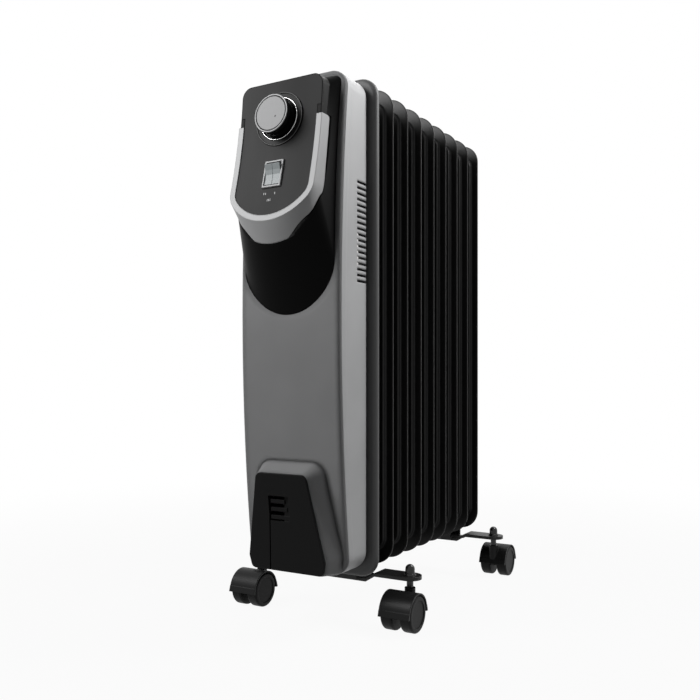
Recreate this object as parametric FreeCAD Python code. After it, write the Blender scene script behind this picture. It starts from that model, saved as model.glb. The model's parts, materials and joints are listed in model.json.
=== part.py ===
import FreeCAD, Part
import math
import os
from FreeCAD import Vector

# Oil filled radiator heater, millimetres, +Z up, control panel facing -Y.
# Shapes are built with Y = 0 at the first module's mid-plane and Z = 0 at the floor. At the end the
# whole heater is moved along Y, so that the origin is the centre of its footprint.

# ---------------------------------------------------------------- driving dimensions
MODULE_COUNT = 9
MODULE_PITCH = 37.3
FIN_WIDTH = 141.2
FIN_HEIGHT = 546.5
FIN_BOTTOM = 60.0
FIN_CORNER = 25.0
FIN_SHEET = 0.6                # one of the two sheets of a module
FIN_RIM_SIDE = 9.0             # flat seam outside the raised panel
FIN_RIM_END = 15.0
FIN_PANEL_RISE = 4.5
FIN_PANEL_DRAFT = 1.6
FIN_PANEL_CORNER = 16.0
SLOT_COUNT = 7
SLOT_PITCH = 69.0
SLOT_LENGTH = 43.0
SLOT_WIDTH = 4.0
SLOT_FROM_EDGE = 16.8
CHANNEL_COUNT = 3
CHANNEL_PITCH = 24.0
CHANNEL_WIDTH = 18.0
CHANNEL_DEPTH = 5.5            # bulge on each side of the sheet
CHANNEL_DRAFT = 2.0
HUB_FROM_END = 43.0            # hub centre from the module's end
HUB_PAD_LENGTH = 70.0
HUB_PAD_HEIGHT = 52.0
HUB_OUTER_R = 23.0
HUB_WALL = 1.6

SHIELD_HALF_WIDTH = 72.8
SHIELD_BOTTOM = 54.0
SHIELD_TOP = 605.5
SHIELD_CORNER = 22.0
SHIELD_SHEET = 0.8
SHIELD_DEPTH = 6.7
SHIELD_EDGE_R = 5.0
SHIELD_GAP = 0.3               # from its rim to the first module
PAD_HALF_WIDTH = 39.0
PAD_MARGIN = 6.0               # pad past the hub pads, up and down
PAD_CORNER = 14.0
PAD_CLEARANCE = 2.0            # in front of the module's channels

HOUSING_HALF_WIDTH = 63.5
HOUSING_BOTTOM = 64.5
HOUSING_TOP = 600.0
HOUSING_CORNER = 20.0
HOUSING_SHEET = 1.0
HOUSING_DEPTH = 63.4           # from its rear face to the bow's most forward point
HOUSING_REAR_BEND = 8.0
HOUSING_REAR_LIP = 13.0
COVER_BOW_R = 2150.0
COVER_BOW_Z = 345.0
COVER_LIP = 4.6
COVER_EDGE_R = 4.2
COVER_SEAM = 0.5
TONGUE_REACH = 1.2
TONGUE_CLEARANCE = 0.15
VENT_COUNT = 18
VENT_PITCH = 6.26
VENT_HEIGHT = 2.6
VENT_TOP = 486.0
VENT_REAR_INSET = 4.5          # from the housing's rear face to the end of a slot
VENT_LENGTH = 21.0

SCREW_R = 1.9
SCREW_HEAD_R = 3.6
SCREW_HEAD = 2.4
SCREW_TAIL = 0.6
SCREW_INSET = 15.5             # from the housing's side
SCREW_ROWS = (115.0, 330.0, 545.0)

GLAND_Y = -27.0
GLAND_R = 8.0
GLAND_BORE_R = 4.2
GLAND_LENGTH = 16.0
GLAND_FLANGE_R = 10.5
GLAND_FLANGE = 2.5

# The control face is part of a cylinder whose axis lies in front of the heater, along X.
FACE_R = 555.0
FACE_TANGENT_Y = -81.4         # where the face is upright
FACE_TANGENT_Z = 618.4
PLATE_TOP = 588.0
PLATE_HALF_WIDTH = 51.0
PLATE_CORNER = 11.0
PLATE_THICK = 2.5
PLATE_CLEARANCE = 0.25
SEAT_SINK = 0.2                # flat seats of the dial ring and the switch, below the tangent plane
TRIM_HALF_WIDTH = 53.2
TRIM_RIM = 6.5
TRIM_WALL = 2.4
TRIM_RIM_DEPTH = 3.6
TRIM_DEPTH = 17.0
TRIM_PROUD = 0.8
TRIM_ARM_TOP = 545.0
TRIM_ARM_CORNER = 8.0
TRIM_SPRING = 471.8            # where the arms turn into the U, at the rim
TRIM_U_DEPTH = 37.4
TRIM_U_CORNER = 28.3
TRIM_U_GROWTH = 21.4           # how much deeper and rounder the U is at the rear edge
TRIM_CORNER_GROWTH = 51.7
TRIM_FORWARD = 4.0             # its outlines start this far in front of the face
TRIM_PAST = 7.0                # and end this far past its rear edge
NOTCH_HEIGHT = 10.0
SHROUD_INSET = 1.6             # its front part inside the trim's outer wall
SHROUD_FOOT_HALF_WIDTH = 59.0
SHROUD_FOOT_TOP = 592.5
SHROUD_FOOT_SPRING = 392.0
SHROUD_FOOT_U_DEPTH = 50.5
SHROUD_FOOT_CORNER = 30.0
SHROUD_WALL = 2.2
SHROUD_SLEEVE = 9.0            # how far it reaches in behind the cover
SHROUD_LEDGE = 1.7             # its foot lies this far over the edge of the cover's opening
SHROUD_CLEARANCE = 0.2
SHROUD_FOOT_TOP_CORNER = 9.0
SLEEVE_OVERLAP = 0.3           # the sleeve starts this far in front of the cover's face
NECK_BEHIND_TRIM = 0.6
NECK_FORWARD_TOP = 3.0
HEAD_MARGIN = 0.6              # shroud above and round the face plate's head
HEAD_DEPTH = 40.0
DIMPLE_R = 9.0
DIMPLE_DEPTH = 1.2

KNOB_Z = 546.5
KNOB_R = 20.5
KNOB_HEIGHT = 16.5
KNOB_GAP = 0.9
KNOB_WALL = 1.8
KNOB_RING_WIDTH = 1.5
KNOB_RING_HEIGHT = 5.0
KNOB_CAP_GROOVE = 0.9
KNOB_CAP_THICK = 2.0
DIAL_OUTER_R = 29.2
DIAL_INNER_R = 22.2
DIAL_THICK = 0.9
DIAL_LIP = 1.2
DIAL_LIP_HEIGHT = 1.5
DIAL_LIP_STEP = 0.4            # the inner lip is this much taller
KNOB_EDGE_R = 0.4
KNOB_TOP_WALL = 6.0
KNOB_HUB_WALL = 2.2
SHAFT_R = 3.0
SHAFT_CLEARANCE = 0.08
SHAFT_DEPTH = 14.0             # behind the face
SHAFT_BELOW_TOP = 5.0
THERMOSTAT_SIZE = (38.0, 34.0, 22.0)
THERMOSTAT_NECK_R = 5.5
THERMOSTAT_NECK_GAP = 0.5      # round the neck, through the face plate
THERMOSTAT_WALL_GAP = 0.6
THERMOSTAT_TAB_PITCH = 12.0
TAB_HALF_WIDTH = 3.0
TAB_THICK = 0.8
TAB_LENGTH = 8.0

ROCKER_Z = 486.3
ROCKER_FRAME_HALF_WIDTH = 11.7
ROCKER_FRAME_HALF_HEIGHT = 15.0
ROCKER_FRAME_WALL = 2.0
ROCKER_FRAME_PROUD = 2.0
ROCKER_BODY_DEPTH = 18.0
ROCKER_GAP = 0.3
ROCKER_HALF_HEIGHT = 11.0
ROCKER_TILT = 11.0             # degrees each side of level
ROCKER_CREST = 3.4
ROCKER_VALLEY = 1.2
ROCKER_PIVOT_DEPTH = 2.6
ROCKER_PIN_R = 1.0
ROCKER_PIN_CLEARANCE = 0.05

CORD_PLATE_TOP = 173.0
CORD_PLATE_BOTTOM = 67.0
CORD_PLATE_KNEE = 81.0
CORD_PLATE_TOP_HALF = 31.5
CORD_PLATE_KNEE_HALF = 48.5
CORD_PLATE_BOTTOM_HALF = 45.5
CORD_PLATE_CORNER = 7.0
CORD_PLATE_THICK = 3.0
CORD_PLATE_Y_TOP = -87.0       # its front face at CORD_PLATE_TOP
CORD_PLATE_SLOPE = 0.125
BOSS_MARGIN = 0.5
BOSS_BASE_TOP = 187.0
BOSS_BASE_TOP_HALF = 42.0
BOSS_BASE_HALF = 62.0
BOSS_BASE_CORNER = 20.0
BOSS_SINK = 4.0                # base outline behind the cover's face
WINDOW_LEFT = -17.0
WINDOW_RIGHT = 9.0
WINDOW_TOP = 149.0
WINDOW_BOTTOM = 122.0
SLIT_WIDTH = 1.6
SLIT_DRIFT = -5.0
LEDGE_COUNT = 3
LEDGE_DROP = 8.5
LEDGE_THICK = 4.0
LEDGE_STEP = 1.6

ROCKER_BODY_INSET = 1.3        # switch body inside the bezel
ROCKER_BODY_FLOOR = 6.0
ROCKER_UNDER = 3.4             # rocker's underside at its ends, below the face
ROCKER_KEEL = 6.4
ROCKER_KEEL_HALF = 4.2
ROCKER_END_TAPER = 1.2
ROCKER_DISH = 0.45             # of the half height: where the dish turns up
ROCKER_DISH_RISE = 0.55
ROCKER_TAB_X = 4.8
ROCKER_TAB_PITCH = 8.0

BRACKET_LOW = 392.0            # control bracket inside the housing
BRACKET_HIGH = 430.0
CONTROL_SHEET = 1.2
CONTROL_BEHIND_SLEEVE = 6.0
CONTROL_FOOT = 12.0
CONTROL_LIP = 8.0
TERMINAL_SIZE = (44.0, 12.0, 16.0)
TERMINAL_WELLS = (-15.0, -5.0, 5.0, 15.0)
TERMINAL_WELL_R = 2.2
TERMINAL_WELL_DEPTH = 7.0
TERMINAL_LIFT = 10.0
CUTOUT_R = 7.5
CUTOUT_HEIGHT = 9.0
CUTOUT_BASE = (24.0, 1.5, 12.0)
TIP_BOX = (24.0, 20.0, 44.0)
TIP_WALL = 2.0
TIP_BEHIND_GAP = 3.0           # behind it, to the element's head
TIP_FROM_GLAND = 4.0
TIP_PIN_R = 1.5
TIP_PIN_CLEARANCE = 0.05
TIP_PIN_DROP = 6.0
TIP_BOB_R = 5.5
TIP_BOB_HALF = 5.0
TIP_BOB_Z = 13.0
TIP_ARM = (2.0, 6.0)
TIP_END_GAP = 0.3

ELEMENT_TUBE_R = 4.2
ELEMENT_LEG = 9.5              # leg from the hub's axis
ELEMENT_HEX = 46.0
ELEMENT_HEX_DEPTH = 7.0
GASKET_THICK = 1.5
THREAD_REACH = 8.0
COLLAR_REACH = 2.0             # front hub collar past the shield's pad

BRACKET_HALF_LENGTH = 114.0
BRACKET_WIDTH = 26.0
BRACKET_SHEET = 1.6
BRACKET_RIM = 4.0
BRACKET_UNDERSIDE = 53.0
BRACKET_DROP = 4.4             # middle below the arms
BRACKET_MID_HALF = 52.0
BRACKET_SLOPE = 11.0
CRADLE_HALF = 44.0
STEM_X = 101.0
STEM_R = 3.75
STEM_TIP_R = 3.0
U_BOLT_R = 2.5
U_BOLT_CLEARANCE = 0.3
U_BOLT_TAIL = 3.0
CLAMP_NUT_ACROSS = 8.0
CLAMP_NUT_HEIGHT = 2.8
NUT_BASE_R = 7.0
NUT_DOME_R = 5.3
NUT_FLANGE = 2.2
NUT_FLANGE_TAPER = 0.8
NUT_HEIGHT = 12.0
NUT_BORE = 7.0

WHEEL_R = 20.0
WHEEL_INNER_X = 4.6            # half the gap between the two wheels
WHEEL_OUTER_X = 18.4
WHEEL_TREAD_R = 2.5
WHEEL_FACE_RECESS = 0.8
WHEEL_FACE_RIM = 5.0
CASTER_TRAIL = 17.0
AXLE_R = 3.0
AXLE_CLEARANCE = 0.05
AXLE_END_GAP = 0.3
WHEEL_CAP = 3.0                # closed outer wall over the axle's end
HOOD_CLEARANCE = 0.8
HOOD_THICK = 1.8
HOOD_LIP = 1.6
HOOD_WEB_CLEARANCE = 0.4
HOOD_TOP_BOSS = 43.5
HOOD_BOSS_R = 6.0
HOOD_HUB_R = 8.0
SOCKET_FLOOR = 27.0
SOCKET_CLEARANCE = 0.05
PRESS_GAP = 0.02

# ---------------------------------------------------------------- worked out from them
FIN_HALF = FIN_WIDTH / 2
FIN_TOP = FIN_BOTTOM + FIN_HEIGHT
LOWER_HUB_Z = FIN_BOTTOM + HUB_FROM_END
UPPER_HUB_Z = FIN_TOP - HUB_FROM_END
PANEL_FRONT = -FIN_SHEET - FIN_PANEL_RISE
SHEET_MID = PANEL_FRONT + FIN_SHEET
CHANNEL_FRONT = SHEET_MID - CHANNEL_DEPTH - FIN_SHEET
CHANNEL_REAR = SHEET_MID + CHANNEL_DEPTH + FIN_SHEET
LAST_Y = (MODULE_COUNT - 1) * MODULE_PITCH
SHIELD_REAR = -FIN_SHEET - SHIELD_GAP
SHIELD_FRONT = SHIELD_REAR - SHIELD_DEPTH
PAD_FRONT = CHANNEL_FRONT - PAD_CLEARANCE - SHIELD_SHEET
SEAM_Y = SHIELD_FRONT - HOUSING_DEPTH + COVER_LIP
COVER_FRONT = SEAM_Y - COVER_LIP
FACE_AXIS_Y = FACE_TANGENT_Y - FACE_R
HEAD_TOP = PLATE_TOP + HEAD_MARGIN
HEAD_CORNER = PLATE_CORNER + HEAD_MARGIN
REACH = 400.0                  # longer than anything it cuts


# ---------------------------------------------------------------- helpers
def point(x, z, y):
    """A point given across, up, and in depth."""
    return Vector(x, y, z)


def rounded(corners, radii, y_of):
    """Closed wire through (x, z) corners in order, each rounded by its own radius."""
    count = len(corners)
    ends = []
    for i in range(count):
        here = Vector(corners[i][0], corners[i][1], 0)
        before = Vector(corners[i - 1][0], corners[i - 1][1], 0) - here
        after = Vector(corners[(i + 1) % count][0], corners[(i + 1) % count][1], 0) - here
        half = before.getAngle(after) / 2
        back = radii[i] / math.tan(half)
        first = here + before * (back / before.Length)
        last = here + after * (back / after.Length)
        inward = before * (1 / before.Length) + after * (1 / after.Length)
        centre = here + inward * (radii[i] / math.sin(half) / inward.Length)
        middle = centre - inward * (radii[i] / inward.Length)
        ends.append((first, middle, last))

    def lift(p):
        return point(p.x, p.y, y_of(p.y))

    edges = []
    for i in range(count):
        first, middle, last = ends[i]
        edges.append(Part.Arc(lift(first), lift(middle), lift(last)).toShape())
        following = ends[(i + 1) % count][0]
        edges.append(Part.LineSegment(lift(last), lift(following)).toShape())
    return Part.Wire(edges)


def rectangle(half_width, bottom, top, radius, y):
    """Rounded rectangle, symmetric about X = 0, in the plane y."""
    corners = [(-half_width, bottom), (half_width, bottom), (half_width, top), (-half_width, top)]
    return rounded(corners, [radius] * 4, lambda z: y)


def slot_wire(centre_x, centre_z, length, width, y, upright):
    """Pill outline in the plane y, along Z when upright and along X otherwise."""
    half = length / 2
    r = width / 2
    if upright:
        corners = [(centre_x - r, centre_z - half), (centre_x + r, centre_z - half),
                   (centre_x + r, centre_z + half), (centre_x - r, centre_z + half)]
    else:
        corners = [(centre_x - half, centre_z - r), (centre_x + half, centre_z - r),
                   (centre_x + half, centre_z + r), (centre_x - half, centre_z + r)]
    return rounded(corners, [r * 0.98] * 4, lambda z: y)


def prism(wire, depth):
    """Solid from a wire, extruded along Y by depth."""
    return Part.Face(wire).extrude(Vector(0, depth, 0))


def frustum(wire_a, wire_b):
    return Part.makeLoft([wire_a, wire_b], True, True)


def block(x0, x1, y0, y1, z0, z1):
    return Part.makeBox(x1 - x0, y1 - y0, z1 - z0, Vector(x0, y0, z0))


def rod(radius, start, end):
    """Cylinder from start to end."""
    along = end - start
    return Part.makeCylinder(radius, along.Length, start, along)


def united(shapes):
    """One solid from pieces that overlap or meet."""
    return shapes[0].multiFuse(shapes[1:]).removeSplitter()


def u_wire(half_width, top, spring, depth, corner, y, top_corner=0.0, drop=0.0):
    """U outline: flat top, straight sides down to spring, then side arcs and one arc below."""
    side = half_width - corner
    fall = depth - corner
    centre_up = (side * side - fall * fall) / (2 * fall)
    big = centre_up + depth
    sign = 1 if big >= corner else -1
    angle = math.atan2(sign * side, sign * centre_up)
    z_spring = spring + drop
    joint_x = big * math.sin(angle)
    joint_z = z_spring + centre_up - big * math.cos(angle)
    turn = (math.pi / 2 - angle) / 2 + angle
    mid_x = side + corner * math.sin(turn)
    mid_z = z_spring - corner * math.cos(turn)
    right = [point(half_width, z_spring, y), point(mid_x, mid_z, y), point(joint_x, joint_z, y)]
    left = [point(-p.x, p.z, y) for p in right]
    lowest = point(0, z_spring - depth, y)
    edges = [Part.Arc(right[0], right[1], right[2]).toShape(),
             Part.Arc(right[2], lowest, left[2]).toShape(),
             Part.Arc(left[2], left[1], left[0]).toShape()]
    if top_corner > 0:
        r = top_corner
        c = r * math.sqrt(0.5)
        edges.append(Part.LineSegment(left[0], point(-half_width, top - r, y)).toShape())
        edges.append(Part.Arc(point(-half_width, top - r, y), point(-half_width + r - c, top - r + c, y),
                              point(-half_width + r, top, y)).toShape())
        edges.append(Part.LineSegment(point(-half_width + r, top, y),
                                      point(half_width - r, top, y)).toShape())
        edges.append(Part.Arc(point(half_width - r, top, y), point(half_width - r + c, top - r + c, y),
                              point(half_width, top - r, y)).toShape())
        edges.append(Part.LineSegment(point(half_width, top - r, y), right[0]).toShape())
    else:
        edges.append(Part.LineSegment(left[0], point(-half_width, top, y)).toShape())
        edges.append(Part.LineSegment(point(-half_width, top, y), point(half_width, top, y)).toShape())
        edges.append(Part.LineSegment(point(half_width, top, y), right[0]).toShape())
    return Part.Wire(edges)


def face_cylinder(behind):
    """Everything in front of the control face moved back by behind."""
    start = Vector(-REACH, FACE_AXIS_Y, FACE_TANGENT_Z)
    return Part.makeCylinder(FACE_R + behind, 2 * REACH, start, Vector(1, 0, 0))


def face_frame(z):
    """Local frame on the control face: x across, y up along the face, z straight out of it."""
    angle = math.asin((FACE_TANGENT_Z - z) / FACE_R)
    c = math.cos(angle)
    s = math.sin(angle)
    y = FACE_AXIS_Y + FACE_R * c
    return FreeCAD.Placement(FreeCAD.Matrix(1, 0, 0, 0,
                                            0, s, -c, y,
                                            0, c, s, z,
                                            0, 0, 0, 1))


def on_face(shape, z):
    """A shape built about the local origin, set on the control face at height z."""
    return shape.transformed(face_frame(z).toMatrix())


def bow_cylinder(behind):
    """Everything behind the cover's bowed face moved back by behind."""
    start = Vector(-REACH, COVER_FRONT + COVER_BOW_R, COVER_BOW_Z)
    return Part.makeCylinder(COVER_BOW_R - behind, 2 * REACH, start, Vector(1, 0, 0))


def bow_y(z):
    """Depth of the cover's face at height z."""
    return COVER_FRONT + COVER_BOW_R - math.sqrt(COVER_BOW_R ** 2 - (z - COVER_BOW_Z) ** 2)


# ---------------------------------------------------------------- radiator
def channel_volume(inset):
    """Outer shape of the oil channels and hub pads, or of the oil inside them for inset > 0."""
    front = CHANNEL_FRONT + inset
    rear = CHANNEL_REAR - inset
    pieces = []
    rows = []
    for i in range(CHANNEL_COUNT):
        x = (i - (CHANNEL_COUNT - 1) / 2) * CHANNEL_PITCH
        rows.append((x, (LOWER_HUB_Z + UPPER_HUB_Z) / 2, UPPER_HUB_Z - LOWER_HUB_Z, CHANNEL_WIDTH, True))
    for z in (LOWER_HUB_Z, UPPER_HUB_Z):
        rows.append((0.0, z, HUB_PAD_LENGTH, HUB_PAD_HEIGHT, False))
    for x, z, length, width, upright in rows:
        for y in (front, rear):
            wide = slot_wire(x, z, length - 2 * inset, width - 2 * inset, SHEET_MID, upright)
            slim = slot_wire(x, z, length - 2 * inset - 2 * CHANNEL_DRAFT,
                             width - 2 * inset - 2 * CHANNEL_DRAFT, y, upright)
            pieces.append(frustum(wide, slim))
    return united(pieces)


def fin_sheet():
    """Rim, raised panel and slots of a module, without its channels."""
    rim = prism(rectangle(FIN_HALF, FIN_BOTTOM, FIN_TOP, FIN_CORNER, -FIN_SHEET), 2 * FIN_SHEET)

    def panel(extra, front, back):
        side = FIN_HALF - FIN_RIM_SIDE - extra
        low = FIN_BOTTOM + FIN_RIM_END + extra
        high = FIN_TOP - FIN_RIM_END - extra
        d = FIN_PANEL_DRAFT
        wide = rectangle(side, low, high, FIN_PANEL_CORNER, back)
        slim = rectangle(side - d, low + d, high - d, FIN_PANEL_CORNER - d, front)
        return frustum(wide, slim)

    raised = panel(0.0, PANEL_FRONT, -FIN_SHEET)
    hollow = panel(2 * FIN_SHEET, PANEL_FRONT + 2 * FIN_SHEET, FIN_SHEET)
    sheet = rim.fuse(raised).cut(hollow)
    slots = []
    for side in (-1, 1):
        x = side * (FIN_HALF - SLOT_FROM_EDGE)
        for i in range(SLOT_COUNT):
            z = (FIN_BOTTOM + FIN_TOP) / 2 + (i - (SLOT_COUNT - 1) / 2) * SLOT_PITCH
            slots.append(prism(slot_wire(x, z, SLOT_LENGTH, SLOT_WIDTH, PANEL_FRONT - 1, True),
                               FIN_PANEL_RISE + 4 * FIN_SHEET + 2))
    return sheet.cut(slots)


def hub_hole(z, y0, y1):
    return rod(HUB_OUTER_R - HUB_WALL, Vector(0, y0, z), Vector(0, y1, z))


def fins(nodes):
    """Nine modules: the first takes the element and the plug in front, the last is closed behind."""
    module = fin_sheet().fuse(channel_volume(0.0)).cut(channel_volume(FIN_SHEET)).removeSplitter()
    middle = (CHANNEL_FRONT + CHANNEL_REAR) / 2
    for i in range(MODULE_COUNT):
        fin = module
        for z in (LOWER_HUB_Z, UPPER_HUB_Z):
            fin = fin.cut(hub_hole(z, CHANNEL_FRONT - 1, middle))
            if i < MODULE_COUNT - 1:
                fin = fin.cut(hub_hole(z, middle, CHANNEL_REAR + 1))
        if i == 0:
            collars = []
            for z in (LOWER_HUB_Z, UPPER_HUB_Z):
                front = Vector(0, PAD_FRONT - COLLAR_REACH, z)
                rear = Vector(0, CHANNEL_FRONT, z)
                collars.append(rod(HUB_OUTER_R, front, rear).cut(rod(HUB_OUTER_R - HUB_WALL, front, rear)))
            fin = united([fin] + collars)
        fin.translate(Vector(0, i * MODULE_PITCH, 0))
        nodes["fin_%d" % (i + 1)] = fin


def hub_rings(nodes):
    rings = []
    for i in range(MODULE_COUNT - 1):
        for z in (LOWER_HUB_Z, UPPER_HUB_Z):
            start = Vector(0, i * MODULE_PITCH + CHANNEL_REAR, z)
            end = Vector(0, (i + 1) * MODULE_PITCH + CHANNEL_FRONT, z)
            rings.append(rod(HUB_OUTER_R, start, end).cut(rod(HUB_OUTER_R - HUB_WALL, start, end)))
    nodes["hub_rings"] = Part.makeCompound(rings)


def hexagon(across_flats, y0, y1, z):
    corner_r = across_flats / math.sqrt(3)
    turns = [math.radians(60 * i) for i in range(7)]
    points = [Vector(corner_r * math.cos(a), y0, z + corner_r * math.sin(a)) for a in turns]
    return Part.Face(Part.makePolygon(points)).extrude(Vector(0, y1 - y0, 0))


def element(nodes):
    """Screw-in heating element with two hairpins, its gasket, and the filler plug above."""
    collar_front = PAD_FRONT - COLLAR_REACH
    bore = HUB_OUTER_R - HUB_WALL - SHAFT_CLEARANCE
    for name, z in (("heating_element", LOWER_HUB_Z), ("oil_plug", UPPER_HUB_Z)):
        seat = collar_front - GASKET_THICK if name == "heating_element" else collar_front
        head = hexagon(ELEMENT_HEX, seat - ELEMENT_HEX_DEPTH, seat, z)
        thread = rod(bore, Vector(0, seat, z), Vector(0, seat + THREAD_REACH, z))
        pieces = [head, thread]
        if name == "heating_element":
            far = LAST_Y - HUB_OUTER_R
            for side in (-1, 1):
                x = side * ELEMENT_LEG
                for leg in (-1, 1):
                    dz = leg * ELEMENT_LEG
                    pieces.append(rod(ELEMENT_TUBE_R, Vector(x, seat, z + dz), Vector(x, far, z + dz)))
                bend = Part.makeTorus(ELEMENT_LEG, ELEMENT_TUBE_R, Vector(x, far, z), Vector(1, 0, 0))
                rear_half = block(x - 10, x + 10, far, far + 30, z - 30, z + 30)
                pieces.append(bend.common(rear_half))
                for leg in (-1, 1):
                    tab_z = z + leg * ELEMENT_LEG
                    tab_y = seat - ELEMENT_HEX_DEPTH
                    pieces.append(block(x - TAB_HALF_WIDTH, x + TAB_HALF_WIDTH, tab_y - TAB_LENGTH, tab_y,
                                        tab_z - TAB_THICK / 2, tab_z + TAB_THICK / 2))
        nodes[name] = united(pieces)
    start = Vector(0, collar_front - GASKET_THICK, LOWER_HUB_Z)
    end = Vector(0, collar_front, LOWER_HUB_Z)
    nodes["element_gasket"] = rod(HUB_OUTER_R, start, end).cut(rod(bore + SHAFT_CLEARANCE, start, end))


# ---------------------------------------------------------------- housing
def shield(nodes):
    """Pressed plate in front of the first module, with a pad that clears its channels."""
    t = SHIELD_SHEET

    def pan(extra, front):
        body = prism(rectangle(SHIELD_HALF_WIDTH - extra, SHIELD_BOTTOM + extra, SHIELD_TOP - extra,
                               SHIELD_CORNER - extra, front), SHIELD_REAR - front)
        edges = [e for e in body.Edges if abs(e.BoundBox.YMax - front) < 0.01 and e.BoundBox.YLength < 0.01]
        return body.makeFillet(SHIELD_EDGE_R - extra, edges)

    def pad(extra, front, rear):
        low = LOWER_HUB_Z - HUB_PAD_HEIGHT / 2 - PAD_MARGIN + extra
        high = UPPER_HUB_Z + HUB_PAD_HEIGHT / 2 + PAD_MARGIN - extra
        half = PAD_HALF_WIDTH - extra
        wide = rectangle(half, low, high, PAD_CORNER - extra, rear)
        slim = rectangle(half - 2, low + 2, high - 2, PAD_CORNER - extra - 2, front)
        return frustum(wide, slim)

    body = pan(0.0, SHIELD_FRONT).fuse(pad(0.0, PAD_FRONT, SHIELD_FRONT + t))
    hollow = pan(t, SHIELD_FRONT + t).fuse(pad(t, PAD_FRONT + t, SHIELD_REAR + t))
    holes = [rod(HUB_OUTER_R + 1, Vector(0, PAD_FRONT - 1, z), Vector(0, PAD_FRONT + 2, z))
             for z in (LOWER_HUB_Z, UPPER_HUB_Z)]
    plate = body.cut(hollow).cut(holes)
    holes = [rod(SCREW_R, p, p + Vector(0, 3 * t, 0)) for p in screw_points()]
    nodes["front_shield"] = plate.cut(holes).removeSplitter()


def screw_points():
    """Where the housing's rear lip is screwed to the shield; each point is in front of the lip."""
    x = HOUSING_HALF_WIDTH - SCREW_INSET
    y = SHIELD_FRONT - HOUSING_SHEET
    return [Vector(side * x, y, z) for z in SCREW_ROWS for side in (-1, 1)]


def housing_screws(nodes):
    screws = []
    for p in screw_points():
        head = rod(SCREW_HEAD_R, p - Vector(0, SCREW_HEAD, 0), p)
        shank = rod(SCREW_R - PRESS_GAP, p, p + Vector(0, HOUSING_SHEET + SHIELD_SHEET + SCREW_TAIL, 0))
        screws.append(united([head, shank]))
    nodes["housing_screws"] = Part.makeCompound(screws)


def housing_volume(inset, rear):
    """Housing outline from in front of the cover back to rear, its rear edge rounded."""
    front = COVER_FRONT - 20
    body = prism(rectangle(HOUSING_HALF_WIDTH - inset, HOUSING_BOTTOM + inset, HOUSING_TOP - inset,
                           HOUSING_CORNER - inset, front), rear - front)
    edges = [e for e in body.Edges if abs(e.BoundBox.YMin - rear) < 0.01 and e.BoundBox.YLength < 0.01]
    return body.makeFillet(HOUSING_REAR_BEND - inset, edges)


def vent_slots():
    slots = []
    rear = SHIELD_FRONT - VENT_REAR_INSET
    for i in range(VENT_COUNT):
        top = VENT_TOP - i * VENT_PITCH
        slots.append(block(-REACH, REACH, rear - VENT_LENGTH, rear, top - VENT_HEIGHT, top))
    return slots


def housing_shell(nodes):
    t = HOUSING_SHEET
    skin = housing_volume(0.0, SHIELD_FRONT).cut(housing_volume(t, SHIELD_FRONT - t))
    window_half = HOUSING_HALF_WIDTH - HOUSING_REAR_BEND - HOUSING_REAR_LIP
    window_low = HOUSING_BOTTOM + HOUSING_REAR_BEND + HOUSING_REAR_LIP
    window_high = HOUSING_TOP - HOUSING_REAR_BEND - HOUSING_REAR_LIP
    window = prism(rectangle(window_half, min(window_low, LOWER_HUB_Z - HUB_PAD_HEIGHT / 2 - PAD_MARGIN - 3),
                             max(window_high, UPPER_HUB_Z + HUB_PAD_HEIGHT / 2 + PAD_MARGIN + 3),
                             PAD_CORNER, SHIELD_FRONT - 2 * t), 3 * t)
    behind_seam = bow_cylinder(COVER_LIP + COVER_SEAM)
    shell = skin.common(behind_seam)
    gap = t + TONGUE_CLEARANCE
    tongue = housing_volume(gap, SHIELD_FRONT - gap).cut(housing_volume(gap + t, SHIELD_FRONT - gap - t))
    tongue = tongue.common(bow_cylinder(COVER_LIP - TONGUE_REACH)).cut(bow_cylinder(COVER_LIP + 10))
    joggle = housing_volume(t / 2, SHIELD_FRONT - 1).cut(housing_volume(gap + t / 2, SHIELD_FRONT - 2))
    joggle = joggle.common(bow_cylinder(COVER_LIP + 6)).cut(bow_cylinder(COVER_LIP + 10))
    gland_hole = rod(GLAND_R, Vector(0, GLAND_Y, HOUSING_BOTTOM - 5), Vector(0, GLAND_Y, HOUSING_BOTTOM + 5))
    shell = shell.cut([window] + vent_slots())
    shell = united([shell, tongue, joggle]).cut(gland_hole)
    holes = [rod(SCREW_R, p - Vector(0, 1, 0), p + Vector(0, 3, 0)) for p in screw_points()]
    nodes["housing_shell"] = shell.cut(holes)


def cord_gland(nodes):
    """Strain-relief bush through the shell's underside, flanged on both faces."""
    low = Vector(0, GLAND_Y, HOUSING_BOTTOM - GLAND_FLANGE)
    floor = Vector(0, GLAND_Y, HOUSING_BOTTOM)
    inside = Vector(0, GLAND_Y, HOUSING_BOTTOM + HOUSING_SHEET)
    top = low + Vector(0, 0, GLAND_LENGTH)
    bush = united([rod(GLAND_R - PRESS_GAP, low, top), rod(GLAND_FLANGE_R, low, floor),
                   rod(GLAND_FLANGE_R, inside, inside + Vector(0, 0, GLAND_FLANGE))])
    nodes["cord_gland"] = bush.cut(rod(GLAND_BORE_R, low, top))


def cord_plate_y(behind):
    """Depth of the tilted cord plate's front face, moved back by behind."""
    return lambda z: CORD_PLATE_Y_TOP + (CORD_PLATE_TOP - z) * CORD_PLATE_SLOPE + behind


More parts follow.
